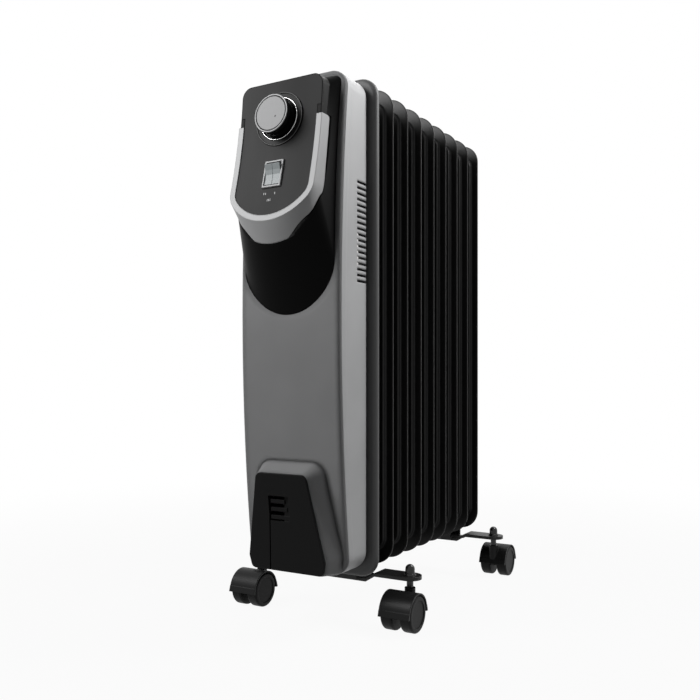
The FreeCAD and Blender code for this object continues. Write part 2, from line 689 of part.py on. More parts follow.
def cord_plate_wire(grow, behind):
    corners = [(-CORD_PLATE_BOTTOM_HALF - grow, CORD_PLATE_BOTTOM - min(grow, 0.5)),
               (CORD_PLATE_BOTTOM_HALF + grow, CORD_PLATE_BOTTOM - min(grow, 0.5)),
               (CORD_PLATE_KNEE_HALF + grow, CORD_PLATE_KNEE),
               (CORD_PLATE_TOP_HALF + grow, CORD_PLATE_TOP + grow),
               (-CORD_PLATE_TOP_HALF - grow, CORD_PLATE_TOP + grow),
               (-CORD_PLATE_KNEE_HALF - grow, CORD_PLATE_KNEE)]
    r = CORD_PLATE_CORNER + grow
    return rounded(corners, [r * 0.8, r * 0.8, r, r, r, r], cord_plate_y(behind))


def boss_base_wire(inset, behind):
    """Foot of the boss, on a plane that follows the cover's face."""
    low = HOUSING_BOTTOM + HOUSING_SHEET + inset
    knee = CORD_PLATE_KNEE + 8
    y_high = bow_y(BOSS_BASE_TOP)
    slope = (bow_y(low) - y_high) / (BOSS_BASE_TOP - low)
    corners = [(-BOSS_BASE_HALF + 4 + inset, low), (BOSS_BASE_HALF - 4 - inset, low),
               (BOSS_BASE_HALF - inset, knee), (BOSS_BASE_TOP_HALF - inset, BOSS_BASE_TOP - inset),
               (-BOSS_BASE_TOP_HALF + inset, BOSS_BASE_TOP - inset), (-BOSS_BASE_HALF + inset, knee)]
    r = BOSS_BASE_CORNER - inset
    return rounded(corners, [CORD_PLATE_CORNER] * 2 + [r] * 4,
                   lambda z: y_high + (BOSS_BASE_TOP - z) * slope + BOSS_SINK + behind)


def front_cover(nodes):
    """Bowed front with a rounded edge, a lip, the boss below and the shroud's opening above."""
    t = HOUSING_SHEET

    def bowed(inset):
        rear = COVER_FRONT + 45
        outline = rectangle(HOUSING_HALF_WIDTH - inset, HOUSING_BOTTOM + inset, HOUSING_TOP - inset,
                            HOUSING_CORNER - inset, COVER_FRONT - 30)
        body = prism(outline, rear - COVER_FRONT + 30).common(bow_cylinder(inset))
        edges = [e for e in body.Edges if e.BoundBox.YMax < rear - 5 and not is_seam(e, outline)]
        return body.makeFillet(COVER_EDGE_R - inset, edges)

    def is_seam(edge, outline):
        """Edges that run front to back between the walls and the rounded corners."""
        return edge.BoundBox.YLength > 12 and edge.BoundBox.XLength < 0.01 and edge.BoundBox.ZLength < 0.01

    outer = bowed(0.0).cut(bow_cylinder(COVER_LIP))
    outline = prism(rectangle(HOUSING_HALF_WIDTH, HOUSING_BOTTOM, HOUSING_TOP, HOUSING_CORNER,
                              COVER_FRONT - 60), 120)
    boss = frustum(boss_base_wire(0.0, 0.0), cord_plate_wire(BOSS_MARGIN, CORD_PLATE_THICK)).common(outline)
    hollow = frustum(boss_base_wire(t, t), cord_plate_wire(BOSS_MARGIN - t, CORD_PLATE_THICK + t))
    inner = bowed(t)
    cover = outer.fuse(boss.cut(bow_cylinder(COVER_LIP))).cut(inner).cut(hollow)
    opening = shroud_foot(SHROUD_LEDGE - SHROUD_CLEARANCE, -60.0)
    cover = cover.cut(prism(opening, 120))
    recess = prism(rounded([(WINDOW_LEFT - 2, WINDOW_BOTTOM - 2), (WINDOW_RIGHT + 2, WINDOW_BOTTOM - 2),
                            (WINDOW_RIGHT + 2, WINDOW_TOP + 2), (WINDOW_LEFT - 2, WINDOW_TOP + 2)],
                           [2.0] * 4, lambda z: COVER_FRONT - 60), 120)
    nodes["front_cover"] = cover.cut(recess)


def cord_plate(nodes):
    """Plate on the boss with a slit and a stepped window for the cord and plug."""
    body = Part.makeLoft([cord_plate_wire(0.0, 0.0), cord_plate_wire(0.0, CORD_PLATE_THICK)], True, True)
    front_edges = [e for e in body.Edges if lies_on_plate(e)]
    body = body.makeFillet(0.8, front_edges)
    window = prism(rounded([(WINDOW_LEFT, WINDOW_BOTTOM), (WINDOW_RIGHT, WINDOW_BOTTOM),
                            (WINDOW_RIGHT, WINDOW_TOP), (WINDOW_LEFT, WINDOW_TOP)],
                           [1.2] * 4, lambda z: COVER_FRONT - 60), 120)
    slit = Part.Wire(Part.makePolygon([
        point(WINDOW_LEFT, WINDOW_BOTTOM + 6, COVER_FRONT - 60),
        point(WINDOW_LEFT + SLIT_WIDTH, WINDOW_BOTTOM + 6, COVER_FRONT - 60),
        point(WINDOW_LEFT + SLIT_WIDTH + SLIT_DRIFT, CORD_PLATE_BOTTOM - 5, COVER_FRONT - 60),
        point(WINDOW_LEFT + SLIT_DRIFT, CORD_PLATE_BOTTOM - 5, COVER_FRONT - 60),
        point(WINDOW_LEFT, WINDOW_BOTTOM + 6, COVER_FRONT - 60)]))
    body = body.cut([window, prism(slit, 120)])
    ledges = []
    for i in range(LEDGE_COUNT):
        top = WINDOW_TOP - 4 - i * LEDGE_DROP
        y0 = cord_plate_y(CORD_PLATE_THICK - LEDGE_STEP - i * 0.4)(top)
        right = WINDOW_RIGHT - 6 + i * 3.0
        shelf = block(WINDOW_LEFT + 2.2, right, y0, y0 + LEDGE_STEP + 4, top - LEDGE_THICK, top)
        ledges.append(shelf)
    y0 = cord_plate_y(CORD_PLATE_THICK - 0.6)(WINDOW_TOP) + 1.2
    y1 = cord_plate_y(CORD_PLATE_THICK)(WINDOW_BOTTOM) + 1.5
    spine = block(WINDOW_RIGHT - 7, WINDOW_RIGHT + 0.5, y0, y1, WINDOW_BOTTOM - 1, WINDOW_TOP + 1)
    nodes["cord_plate"] = united([body, spine] + ledges)


def lies_on_plate(edge):
    """True for edges in the cord plate's front face."""
    face_y = cord_plate_y(0.0)
    return all(abs(v.Y - face_y(v.Z)) < 0.01 for v in edge.Vertexes)


# ---------------------------------------------------------------- controls
def face_y(z):
    return FACE_AXIS_Y + math.sqrt(FACE_R ** 2 - (FACE_TANGENT_Z - z) ** 2)


def band_wire(inset, behind, top, top_corner=0.0):
    """Outline of the trim at a depth behind the control face. Its U is deeper towards the rear."""
    share = behind / TRIM_DEPTH
    wire = u_wire(TRIM_HALF_WIDTH - inset, top, TRIM_SPRING, TRIM_U_DEPTH + TRIM_U_GROWTH * share - inset,
                  TRIM_U_CORNER + TRIM_CORNER_GROWTH * share - inset, 0.0, top_corner)
    low = TRIM_SPRING - TRIM_U_DEPTH
    return tilted(wire, low, face_y(low) + behind, TRIM_SPRING, face_y(TRIM_SPRING) + behind)


def trim_volume(inset):
    """Space inside the trim's outer wall, from in front of the face to behind its rear edge."""
    top = TRIM_SPRING + TRIM_FORWARD
    lower = Part.makeLoft([band_wire(inset, TRIM_DEPTH + TRIM_PAST, top),
                           band_wire(inset, -TRIM_FORWARD, top)], True, True)
    half = TRIM_HALF_WIDTH - inset
    return united([lower, block(-half, half, -REACH, REACH, TRIM_SPRING, PLATE_TOP + 80)])


def band_low():
    """Height of the trim's lowest point, at its rear edge."""
    return TRIM_SPRING - TRIM_U_DEPTH - TRIM_U_GROWTH


def trim_band(nodes):
    """U band: bright rim around the face plate and a wall that wraps the shroud behind it."""
    above = block(-REACH, REACH, -REACH, REACH, TRIM_ARM_TOP, TRIM_ARM_TOP + REACH)
    front = face_cylinder(-TRIM_PROUD)
    wall = trim_volume(0.0).common(face_cylinder(TRIM_DEPTH)).cut(trim_volume(TRIM_WALL))
    rim = trim_volume(0.0).common(face_cylinder(TRIM_RIM_DEPTH)).cut(trim_volume(TRIM_RIM))
    band = united([wall, rim]).cut([front, above])
    r = TRIM_ARM_CORNER
    corner_y = face_y(TRIM_ARM_TOP) + TRIM_DEPTH - r
    keep = rod(r, Vector(-REACH, corner_y, TRIM_ARM_TOP - r), Vector(REACH, corner_y, TRIM_ARM_TOP - r))
    square = block(-REACH, REACH, corner_y, corner_y + 3 * r, TRIM_ARM_TOP - r, TRIM_ARM_TOP + 1)
    nodes["trim_band"] = band.cut(square.cut(keep))


def plate_wire(grow, y):
    return u_wire(TRIM_HALF_WIDTH - TRIM_RIM - PLATE_CLEARANCE + grow, PLATE_TOP + 30, TRIM_SPRING,
                  TRIM_U_DEPTH - TRIM_RIM - PLATE_CLEARANCE + grow, TRIM_U_CORNER - TRIM_RIM + grow, y)


def plate_outline(grow):
    """Face plate seen from the front: wide head above the notches, U below."""
    y = -REACH
    lower = prism(plate_wire(grow, y), 2 * REACH).common(
        block(-REACH, REACH, -REACH, REACH, 0, TRIM_ARM_TOP + NOTCH_HEIGHT + 1))
    lower = lower.common(trim_volume(TRIM_RIM + PLATE_CLEARANCE - grow))
    half = PLATE_HALF_WIDTH + grow
    low = TRIM_ARM_TOP + NOTCH_HEIGHT - grow
    top = PLATE_TOP + grow
    radius = PLATE_CORNER + grow
    head = rounded([(-half, low), (half, low), (half, top), (-half, top)], [1.0, 1.0, radius, radius],
                   lambda z: y)
    return united([lower, prism(head, 2 * REACH)])


def face_plate(nodes):
    plate = plate_outline(0.0).common(face_cylinder(PLATE_THICK)).cut(face_cylinder(0.0))
    w = ROCKER_FRAME_HALF_WIDTH + PLATE_CLEARANCE
    h = ROCKER_FRAME_HALF_HEIGHT + PLATE_CLEARANCE
    sink = SEAT_SINK
    neck = Part.makeCylinder(THERMOSTAT_NECK_R + THERMOSTAT_NECK_GAP, 20, Vector(0, 0, -10))
    dial_seat = Part.makeCylinder(DIAL_OUTER_R + PLATE_CLEARANCE, 10, Vector(0, 0, -sink))
    holes = [on_face(neck, KNOB_Z), on_face(dial_seat, KNOB_Z), on_face(rocker_cutout(), ROCKER_Z),
             on_face(block(-w, w, -h, h, -sink, 10), ROCKER_Z)]
    nodes["face_plate"] = plate.cut(holes)


def rocker_cutout():
    w = ROCKER_FRAME_HALF_WIDTH - 1.0
    h = ROCKER_FRAME_HALF_HEIGHT - 1.0
    return block(-w, w, -h, h, -30, 10)


def shroud_foot(inset, behind):
    """Outline where the shroud meets the cover, on a plane that follows the cover's face."""
    wire = u_wire(SHROUD_FOOT_HALF_WIDTH - inset, SHROUD_FOOT_TOP - inset, SHROUD_FOOT_SPRING,
                  SHROUD_FOOT_U_DEPTH - inset, SHROUD_FOOT_CORNER - inset, 0.0,
                  SHROUD_FOOT_TOP_CORNER - inset)
    low = SHROUD_FOOT_SPRING - SHROUD_FOOT_U_DEPTH
    return tilted(wire, low, bow_y(low) + behind, SHROUD_FOOT_TOP, bow_y(SHROUD_FOOT_TOP) + behind)


def tilted(wire, z_low, y_low, z_high, y_high):
    """The same outline sheared along Y, so that it lies on the plane through two depths."""
    slope = (y_high - y_low) / (z_high - z_low)
    shear = FreeCAD.Matrix(1, 0, 0, 0,
                           0, 1, slope, y_low - slope * z_low,
                           0, 0, 1, 0,
                           0, 0, 0, 1)
    return wire.transformGeometry(shear)


def shroud_volume(inset, sleeve_depth):
    """Outer shape of the shroud, or of the space in it for inset > 0."""
    inside = SHROUD_INSET + inset
    y_low = face_y(band_low()) + TRIM_DEPTH + NECK_BEHIND_TRIM
    y_high = face_y(PLATE_TOP) + TRIM_DEPTH - NECK_FORWARD_TOP
    neck = u_wire(TRIM_HALF_WIDTH - inside, HEAD_TOP - inset, TRIM_SPRING,
                  TRIM_U_DEPTH + TRIM_U_GROWTH - inside, TRIM_U_CORNER + TRIM_CORNER_GROWTH - inside, 0.0,
                  HEAD_CORNER - inset)
    neck = tilted(neck, band_low(), y_low, PLATE_TOP, y_high)
    loft = Part.makeLoft([shroud_foot(inset, 0.0), neck], True, True).cut(bow_cylinder(0.0))
    sleeve = Part.Face(shroud_foot(inset + SHROUD_LEDGE, sleeve_depth)).extrude(Vector(0, -REACH, 0))
    sleeve = sleeve.common(bow_cylinder(-SLEEVE_OVERLAP))
    front_wire = band_wire(inside, -TRIM_FORWARD, HEAD_TOP - inset, HEAD_CORNER - inset)
    front = Part.makeLoft([neck, front_wire], True, True)
    return united([loft, sleeve, front, head_block(inset, y_high)])


def head_block(inset, y_rear):
    """Straight upper part of the shroud behind the head of the face plate."""
    half = TRIM_HALF_WIDTH - SHROUD_INSET - inset
    top = HEAD_TOP - inset
    corners = [(-half, TRIM_SPRING), (half, TRIM_SPRING), (half, top), (-half, top)]
    radii = [0.5, 0.5, HEAD_CORNER - inset, HEAD_CORNER - inset]
    return prism(rounded(corners, radii, lambda z: y_rear - HEAD_DEPTH), HEAD_DEPTH)


def control_shroud(nodes):
    """Black housing of the controls, seated for the trim band and the face plate."""
    body = shroud_volume(0.0, SHROUD_SLEEVE).cut(face_cylinder(0.0))
    hollow = shroud_volume(SHROUD_WALL, 2 * SHROUD_SLEEVE).cut(face_cylinder(PLATE_THICK + SHROUD_WALL))
    seat = trim_volume(-SHROUD_CLEARANCE).common(face_cylinder(TRIM_DEPTH + SHROUD_CLEARANCE))
    seat = seat.cut(trim_volume(TRIM_WALL + SHROUD_CLEARANCE))
    seat_rim = trim_volume(-SHROUD_CLEARANCE).common(face_cylinder(TRIM_RIM_DEPTH + SHROUD_CLEARANCE))
    seat_rim = seat_rim.cut(trim_volume(TRIM_RIM + SHROUD_CLEARANCE))
    above = block(-REACH, REACH, -REACH, REACH, TRIM_ARM_TOP + SHROUD_CLEARANCE, TRIM_ARM_TOP + REACH)
    plate_seat = plate_outline(PLATE_CLEARANCE).common(face_cylinder(PLATE_THICK))
    body = body.cut([hollow, seat.cut(above), seat_rim.cut(above), plate_seat])
    holes = [on_face(Part.makeCylinder(THERMOSTAT_NECK_R + 0.3, 40, Vector(0, 0, -30)), KNOB_Z),
             on_face(rocker_cutout(), ROCKER_Z)]
    nodes["control_shroud"] = body.cut(holes).cut(shroud_dimple())


def shroud_dimple():
    """Shallow finger dimple in the shroud, half under the trim's rear edge."""
    foot_low = SHROUD_FOOT_SPRING - SHROUD_FOOT_U_DEPTH
    top = Vector(0, face_y(band_low()) + TRIM_DEPTH + NECK_BEHIND_TRIM, band_low() + SHROUD_INSET)
    slope = (Vector(0, bow_y(foot_low), foot_low) - top).normalize()
    outward = Vector(0, slope.z, -slope.y)
    return Part.makeSphere(DIMPLE_R, top + outward * (DIMPLE_R - DIMPLE_DEPTH))


def control_bracket_y():
    return bow_y(HOUSING_TOP) + SHROUD_SLEEVE + CONTROL_BEHIND_SLEEVE


def control_bracket(nodes):
    """Sheet bracket across the shell behind the shroud's sleeve. It carries the terminal block."""
    y0 = control_bracket_y()
    t = CONTROL_SHEET
    half = HOUSING_HALF_WIDTH - HOUSING_SHEET - PRESS_GAP
    web = block(-half, half, y0, y0 + t, BRACKET_LOW, BRACKET_HIGH)
    lip = block(-half, half, y0 - CONTROL_LIP, y0, BRACKET_LOW, BRACKET_LOW + t)
    feet = [block(x, x + t, y0, y0 + CONTROL_FOOT, BRACKET_LOW, BRACKET_HIGH) for x in (-half, half - t)]
    nodes["control_bracket"] = united([web, lip] + feet)


def dial_ring(nodes):
    """Flat ring round the knob with a raised lip at each edge, sunk in its seat."""
    def ring(outer, inner, height):
        seat = Vector(0, 0, -SEAT_SINK)
        return Part.makeCylinder(outer, height + SEAT_SINK, seat).cut(
            Part.makeCylinder(inner, height + SEAT_SINK, seat))

    disc = ring(DIAL_OUTER_R, DIAL_INNER_R, DIAL_THICK)
    outer_lip = ring(DIAL_OUTER_R, DIAL_OUTER_R - DIAL_LIP, DIAL_LIP_HEIGHT)
    inner_lip = ring(DIAL_INNER_R + DIAL_LIP, DIAL_INNER_R, DIAL_LIP_HEIGHT + DIAL_LIP_STEP)
    nodes["dial_ring"] = on_face(united([disc, outer_lip, inner_lip]), KNOB_Z)


def knob(nodes):
    """Knob body, bright ring and cap, on the thermostat's shaft."""
    base = KNOB_GAP
    top = KNOB_HEIGHT
    body = Part.makeCylinder(KNOB_R, top - base, Vector(0, 0, base))
    body = body.cut(Part.makeCylinder(KNOB_R - KNOB_WALL, top - base - KNOB_TOP_WALL, Vector(0, 0, base)))
    hub = Part.makeCylinder(SHAFT_R + KNOB_HUB_WALL, top - base - KNOB_CAP_THICK - 1, Vector(0, 0, base))
    bore = Part.makeCylinder(SHAFT_R + PRESS_GAP, top - base - SHAFT_BELOW_TOP, Vector(0, 0, base))
    ring_seat = Part.makeCylinder(KNOB_R + 1, KNOB_RING_HEIGHT, Vector(0, 0, top - KNOB_RING_HEIGHT)).cut(
        Part.makeCylinder(KNOB_R - KNOB_RING_WIDTH, KNOB_RING_HEIGHT, Vector(0, 0, top - KNOB_RING_HEIGHT)))
    cap_r = KNOB_R - KNOB_RING_WIDTH - KNOB_CAP_GROOVE
    cap_seat = Part.makeCylinder(cap_r + KNOB_CAP_GROOVE, KNOB_CAP_THICK, Vector(0, 0, top - KNOB_CAP_THICK))
    nodes["knob_body"] = on_face(united([body, hub]).cut([bore, ring_seat, cap_seat]), KNOB_Z)
    ring = Part.makeCylinder(KNOB_R, KNOB_RING_HEIGHT, Vector(0, 0, top - KNOB_RING_HEIGHT)).cut(
        Part.makeCylinder(KNOB_R - KNOB_RING_WIDTH + PRESS_GAP, KNOB_RING_HEIGHT,
                          Vector(0, 0, top - KNOB_RING_HEIGHT)))
    edges = [e for e in ring.Edges if abs(e.BoundBox.ZMin - top) < 0.01]
    nodes["knob_ring"] = on_face(ring.makeFillet(KNOB_EDGE_R, edges), KNOB_Z)
    cap = Part.makeCylinder(cap_r, KNOB_CAP_THICK, Vector(0, 0, top - KNOB_CAP_THICK))
    edges = [e for e in cap.Edges if abs(e.BoundBox.ZMin - top) < 0.01]
    nodes["knob_cap"] = on_face(cap.makeFillet(KNOB_EDGE_R, edges), KNOB_Z)
    tip = top - SHAFT_BELOW_TOP - PRESS_GAP
    shaft = Part.makeCylinder(SHAFT_R, tip + SHAFT_DEPTH, Vector(0, 0, -SHAFT_DEPTH))
    nodes["thermostat_shaft"] = on_face(shaft, KNOB_Z)


def thermostat(nodes):
    """Bimetal thermostat behind the shroud's front wall, its neck flush with the face."""
    wall_back = -(PLATE_THICK + SHROUD_WALL + THERMOSTAT_WALL_GAP)
    wide, tall, deep = THERMOSTAT_SIZE
    body = block(-wide / 2, wide / 2, -tall / 2, tall / 2, wall_back - deep, wall_back)
    neck = Part.makeCylinder(THERMOSTAT_NECK_R, -wall_back, Vector(0, 0, wall_back))
    rear = wall_back - deep
    tab_y = TAB_THICK * 5 - tall / 2
    tabs = [block(x - TAB_HALF_WIDTH, x + TAB_HALF_WIDTH, tab_y, tab_y + TAB_THICK, rear - TAB_LENGTH, rear)
            for x in (-THERMOSTAT_TAB_PITCH, 0, THERMOSTAT_TAB_PITCH)]
    bore_depth = SHAFT_DEPTH + AXLE_END_GAP
    bore = Part.makeCylinder(SHAFT_R + SHAFT_CLEARANCE, bore_depth + 1, Vector(0, 0, -bore_depth))
    nodes["thermostat_body"] = on_face(united([body, neck] + tabs).cut(bore), KNOB_Z)


def rockers(nodes):
    """Switch frame with its body, two rockers side by side, and the pin they turn on."""
    w = ROCKER_FRAME_HALF_WIDTH
    h = ROCKER_FRAME_HALF_HEIGHT
    wall = ROCKER_FRAME_WALL
    bezel = block(-w, w, -h, h, -SEAT_SINK, ROCKER_FRAME_PROUD)
    edges = [e for e in bezel.Edges if abs(e.BoundBox.ZMin - ROCKER_FRAME_PROUD) < 0.01]
    bezel = bezel.makeFillet(0.6, edges)
    bw = w - ROCKER_BODY_INSET
    bh = h - ROCKER_BODY_INSET
    rear = -ROCKER_BODY_DEPTH
    body = block(-bw, bw, -bh, bh, rear, ROCKER_FRAME_PROUD / 2)
    well = block(-w + wall, w - wall, -h + wall, h - wall, rear + ROCKER_BODY_FLOOR, 10)
    tabs = [block(x - TAB_HALF_WIDTH, x + TAB_HALF_WIDTH, y - TAB_THICK / 2, y + TAB_THICK / 2,
                  rear - TAB_LENGTH, rear)
            for x in (-ROCKER_TAB_X, ROCKER_TAB_X) for y in (-ROCKER_TAB_PITCH, 0, ROCKER_TAB_PITCH)]
    pin_z = -ROCKER_PIVOT_DEPTH
    pin_half = w - wall / 2
    pin_hole = rod(ROCKER_PIN_R, Vector(-pin_half, 0, pin_z), Vector(pin_half, 0, pin_z))
    nodes["rocker_frame"] = on_face(united([bezel, body] + tabs).cut([well, pin_hole]), ROCKER_Z)
    pin = rod(ROCKER_PIN_R - PRESS_GAP, Vector(-pin_half, 0, pin_z), Vector(pin_half, 0, pin_z))
    nodes["rocker_pin"] = on_face(pin, ROCKER_Z)
    inner = w - wall - ROCKER_GAP
    for name, x0, x1 in (("rocker_left", -inner, -ROCKER_GAP / 2), ("rocker_right", ROCKER_GAP / 2, inner)):
        t = ROCKER_HALF_HEIGHT
        dish = (t * ROCKER_DISH, ROCKER_VALLEY + ROCKER_DISH_RISE)
        profile = [(-t, ROCKER_CREST), (-dish[0], dish[1]), (0, ROCKER_VALLEY), dish, (t, ROCKER_CREST),
                   (t - ROCKER_END_TAPER, -ROCKER_UNDER), (ROCKER_KEEL_HALF, -ROCKER_KEEL),
                   (-ROCKER_KEEL_HALF, -ROCKER_KEEL), (-t + ROCKER_END_TAPER, -ROCKER_UNDER),
                   (-t, ROCKER_CREST)]
        wire = Part.makePolygon([Vector(x0, y, z) for y, z in profile])
        rocker = Part.Face(wire).extrude(Vector(x1 - x0, 0, 0))
        bore = rod(ROCKER_PIN_R + ROCKER_PIN_CLEARANCE, Vector(-20, 0, pin_z), Vector(20, 0, pin_z))
        rocker = rocker.cut(bore)
        rocker.rotate(Vector(0, 0, pin_z), Vector(1, 0, 0), ROCKER_TILT)
        nodes[name] = on_face(rocker, ROCKER_Z)


def electrics(nodes):
    """Terminal block on the bracket and thermal cut-out on the shield's pad."""
    y0 = control_bracket_y() + CONTROL_SHEET
    low = BRACKET_LOW + TERMINAL_LIFT
    wide, deep, tall = TERMINAL_SIZE
    mid = low + tall / 2
    terminal = block(-wide / 2, wide / 2, y0, y0 + deep, low, low + tall)
    wells = [rod(TERMINAL_WELL_R, Vector(x, y0 + deep - TERMINAL_WELL_DEPTH, mid), Vector(x, y0 + deep, mid))
             for x in TERMINAL_WELLS]
    nodes["terminal_block"] = terminal.cut(wells)
    mid = (LOWER_HUB_Z + UPPER_HUB_Z) / 2
    wide, thick, tall = CUTOUT_BASE
    base = block(-wide / 2, wide / 2, PAD_FRONT - thick, PAD_FRONT, mid - tall / 2, mid + tall / 2)
    can = rod(CUTOUT_R, Vector(0, PAD_FRONT - CUTOUT_HEIGHT, mid), Vector(0, PAD_FRONT - thick, mid))
    nodes["thermal_cutout"] = united([base, can])


def tip_switch(nodes):
    """Tip-over switch on the housing's floor: a box and the pendulum that hangs in it."""
    floor = HOUSING_BOTTOM + 2 * HOUSING_SHEET + TONGUE_CLEARANCE + PRESS_GAP
    wide, deep, tall = TIP_BOX
    x0 = GLAND_FLANGE_R + TIP_FROM_GLAND
    x = x0 + wide / 2
    y1 = PAD_FRONT - COLLAR_REACH - GASKET_THICK - ELEMENT_HEX_DEPTH - TIP_BEHIND_GAP
    y0 = y1 - deep
    y = (y0 + y1) / 2
    box = block(x0, x0 + wide, y0, y1, floor, floor + tall)
    room = block(x0 + TIP_WALL, x0 + wide - TIP_WALL, y0 + TIP_WALL, y1 - TIP_WALL,
                 floor + TIP_WALL, floor + tall - TIP_WALL)
    pivot_z = floor + tall - TIP_PIN_DROP
    half = (deep - TIP_WALL) / 2
    hole = rod(TIP_PIN_R, Vector(x, y - half, pivot_z), Vector(x, y + half, pivot_z))
    half = half - TIP_END_GAP
    pin = rod(TIP_PIN_R - TIP_PIN_CLEARANCE, Vector(x, y - half, pivot_z), Vector(x, y + half, pivot_z))
    arm_x, arm_y = TIP_ARM
    bob_z = floor + TIP_BOB_Z
    arm = block(x - arm_x / 2, x + arm_x / 2, y - arm_y / 2, y + arm_y / 2, bob_z, pivot_z)
    bob = rod(TIP_BOB_R, Vector(x, y - TIP_BOB_HALF, bob_z), Vector(x, y + TIP_BOB_HALF, bob_z))
    nodes["tip_switch_housing"] = box.cut(room).cut(hole)
    nodes["tip_switch_pendulum"] = united([pin, arm, bob])


# ---------------------------------------------------------------- feet
def bracket_ys():
    return (MODULE_PITCH / 2, LAST_Y - MODULE_PITCH / 2)


def strip_profile(offset_low, offset_high, y0, y1, shorten):
    """Band that follows the bracket: level arms, sloped steps, lower middle."""
    arm = BRACKET_UNDERSIDE + BRACKET_RIM
    mid = arm - BRACKET_DROP - BRACKET_RIM + BRACKET_SHEET
    xs = [(-BRACKET_HALF_LENGTH + shorten, arm), (-BRACKET_MID_HALF - BRACKET_SLOPE, arm),
          (-BRACKET_MID_HALF, mid), (BRACKET_MID_HALF, mid), (BRACKET_MID_HALF + BRACKET_SLOPE, arm),
          (BRACKET_HALF_LENGTH - shorten, arm)]
    low = [Vector(x, y0, z - offset_low) for x, z in xs]
    high = [Vector(x, y0, z - offset_high) for x, z in reversed(xs)]
    wire = Part.makePolygon(low + high + [low[0]])
    return Part.Face(wire).extrude(Vector(0, y1 - y0, 0))


def plan_prism(half_length, half_width, y):
    """Upright prism of the bracket's plan: a bar with round ends."""
    r = half_width
    bar = block(-half_length + r, half_length - r, y - r, y + r, 0, 100)
    ends = [Part.makeCylinder(r, 100, Vector(side * (half_length - r), y, 0)) for side in (-1, 1)]
    return united([bar] + ends)


def foot_bracket(y):
    half = BRACKET_WIDTH / 2
    plan = plan_prism(BRACKET_HALF_LENGTH, half, y)
    inner = plan_prism(BRACKET_HALF_LENGTH - BRACKET_SHEET, half - BRACKET_SHEET, y)
    band = strip_profile(BRACKET_RIM, 0.0, y - half, y + half, 0.0)
    under = strip_profile(BRACKET_RIM + 1, BRACKET_SHEET, y - half, y + half, 0.0)
    body = band.common(plan).cut(under.common(inner))
    mid_top = bracket_mid_top()
    reach = MODULE_PITCH / 2 + BRACKET_SHEET / 2
    tray = block(-CRADLE_HALF, CRADLE_HALF, y - reach, y + reach, mid_top - BRACKET_SHEET, mid_top)
    lips = [block(-CRADLE_HALF, CRADLE_HALF, y + side * reach - (BRACKET_SHEET if side > 0 else 0),
                  y + side * reach + (0 if side > 0 else BRACKET_SHEET), mid_top - BRACKET_SHEET, FIN_BOTTOM)
            for side in (-1, 1)]
    holes = [rod(STEM_TIP_R + PRESS_GAP, Vector(side * STEM_X, y, 40), Vector(side * STEM_X, y, 70))
             for side in (-1, 1)]
    holes += [rod(U_BOLT_R + U_BOLT_CLEARANCE, Vector(x, y, 30), Vector(x, y, 70))
              for x in (-u_bolt_x(), u_bolt_x())]
    return united([body, tray] + lips).cut(holes)


def u_bolt_x():
    return HUB_OUTER_R + U_BOLT_CLEARANCE + U_BOLT_R


def bracket_mid_top():
    return BRACKET_UNDERSIDE - BRACKET_DROP + BRACKET_SHEET


def feet(nodes):
    """Two cross brackets, each clamped to the lower hub line by a U bolt and low nuts."""
    front, rear = bracket_ys()
    nodes["front_foot_bracket"] = foot_bracket(front)
    nodes["rear_foot_bracket"] = foot_bracket(rear)
    bolts = []
    nuts = []
    mid_under = bracket_mid_top() - BRACKET_SHEET
    for y in (front, rear):
        r = u_bolt_x()
        bend = Part.makeTorus(r, U_BOLT_R, Vector(0, y, LOWER_HUB_Z), Vector(0, 1, 0))
        bend = bend.common(block(-40, 40, y - 5, y + 5, LOWER_HUB_Z, LOWER_HUB_Z + 40))
        legs = [rod(U_BOLT_R, Vector(side * r, y, mid_under - U_BOLT_TAIL), Vector(side * r, y, LOWER_HUB_Z))
                for side in (-1, 1)]
        bolts.append(united([bend] + legs))
        for side in (-1, 1):
            nuts.append(clamp_nut(side * r, y, mid_under))
    nodes["u_bolts"] = Part.makeCompound(bolts)
    nodes["clamp_nuts"] = Part.makeCompound(nuts)


def clamp_nut(x, y, z_top):
    """Low hexagon nut under the bracket's middle, its corners rounded off below."""
    low = Vector(x, y, z_top - CLAMP_NUT_HEIGHT)
    corner_r = CLAMP_NUT_ACROSS / math.sqrt(3)
    turns = [math.radians(60 * i) for i in range(7)]
    corners = [low + Vector(corner_r * math.cos(a), corner_r * math.sin(a), 0) for a in turns]
    body = Part.Face(Part.makePolygon(corners)).extrude(Vector(0, 0, CLAMP_NUT_HEIGHT))
    cone = Part.makeCone(CLAMP_NUT_ACROSS / 2, CLAMP_NUT_ACROSS / 2 + 2 * CLAMP_NUT_HEIGHT,
                         CLAMP_NUT_HEIGHT, low)
    bore = rod(U_BOLT_R + PRESS_GAP, low, Vector(x, y, z_top))
    return body.common(cone).cut(bore)


def stems_and_nuts(nodes):
    stems = []
    nuts = []
    plate_top = BRACKET_UNDERSIDE + BRACKET_RIM
    plate_under = plate_top - BRACKET_SHEET
    for y in bracket_ys():
        for side in (-1, 1):
            x = side * STEM_X
            shank = rod(STEM_R, Vector(x, y, HOOD_TOP_BOSS + 0.5), Vector(x, y, plate_under))
            tip = rod(STEM_TIP_R, Vector(x, y, SOCKET_FLOOR + 0.4), Vector(x, y, HOOD_TOP_BOSS + 0.5))
            thread = rod(STEM_TIP_R, Vector(x, y, plate_under), Vector(x, y, plate_top + NUT_BORE))
            stems.append(united([shank, tip, thread]))
            nuts.append(acorn_nut(x, y, plate_top))
    nodes["caster_stems"] = Part.makeCompound(stems)
    nodes["acorn_nuts"] = Part.makeCompound(nuts)


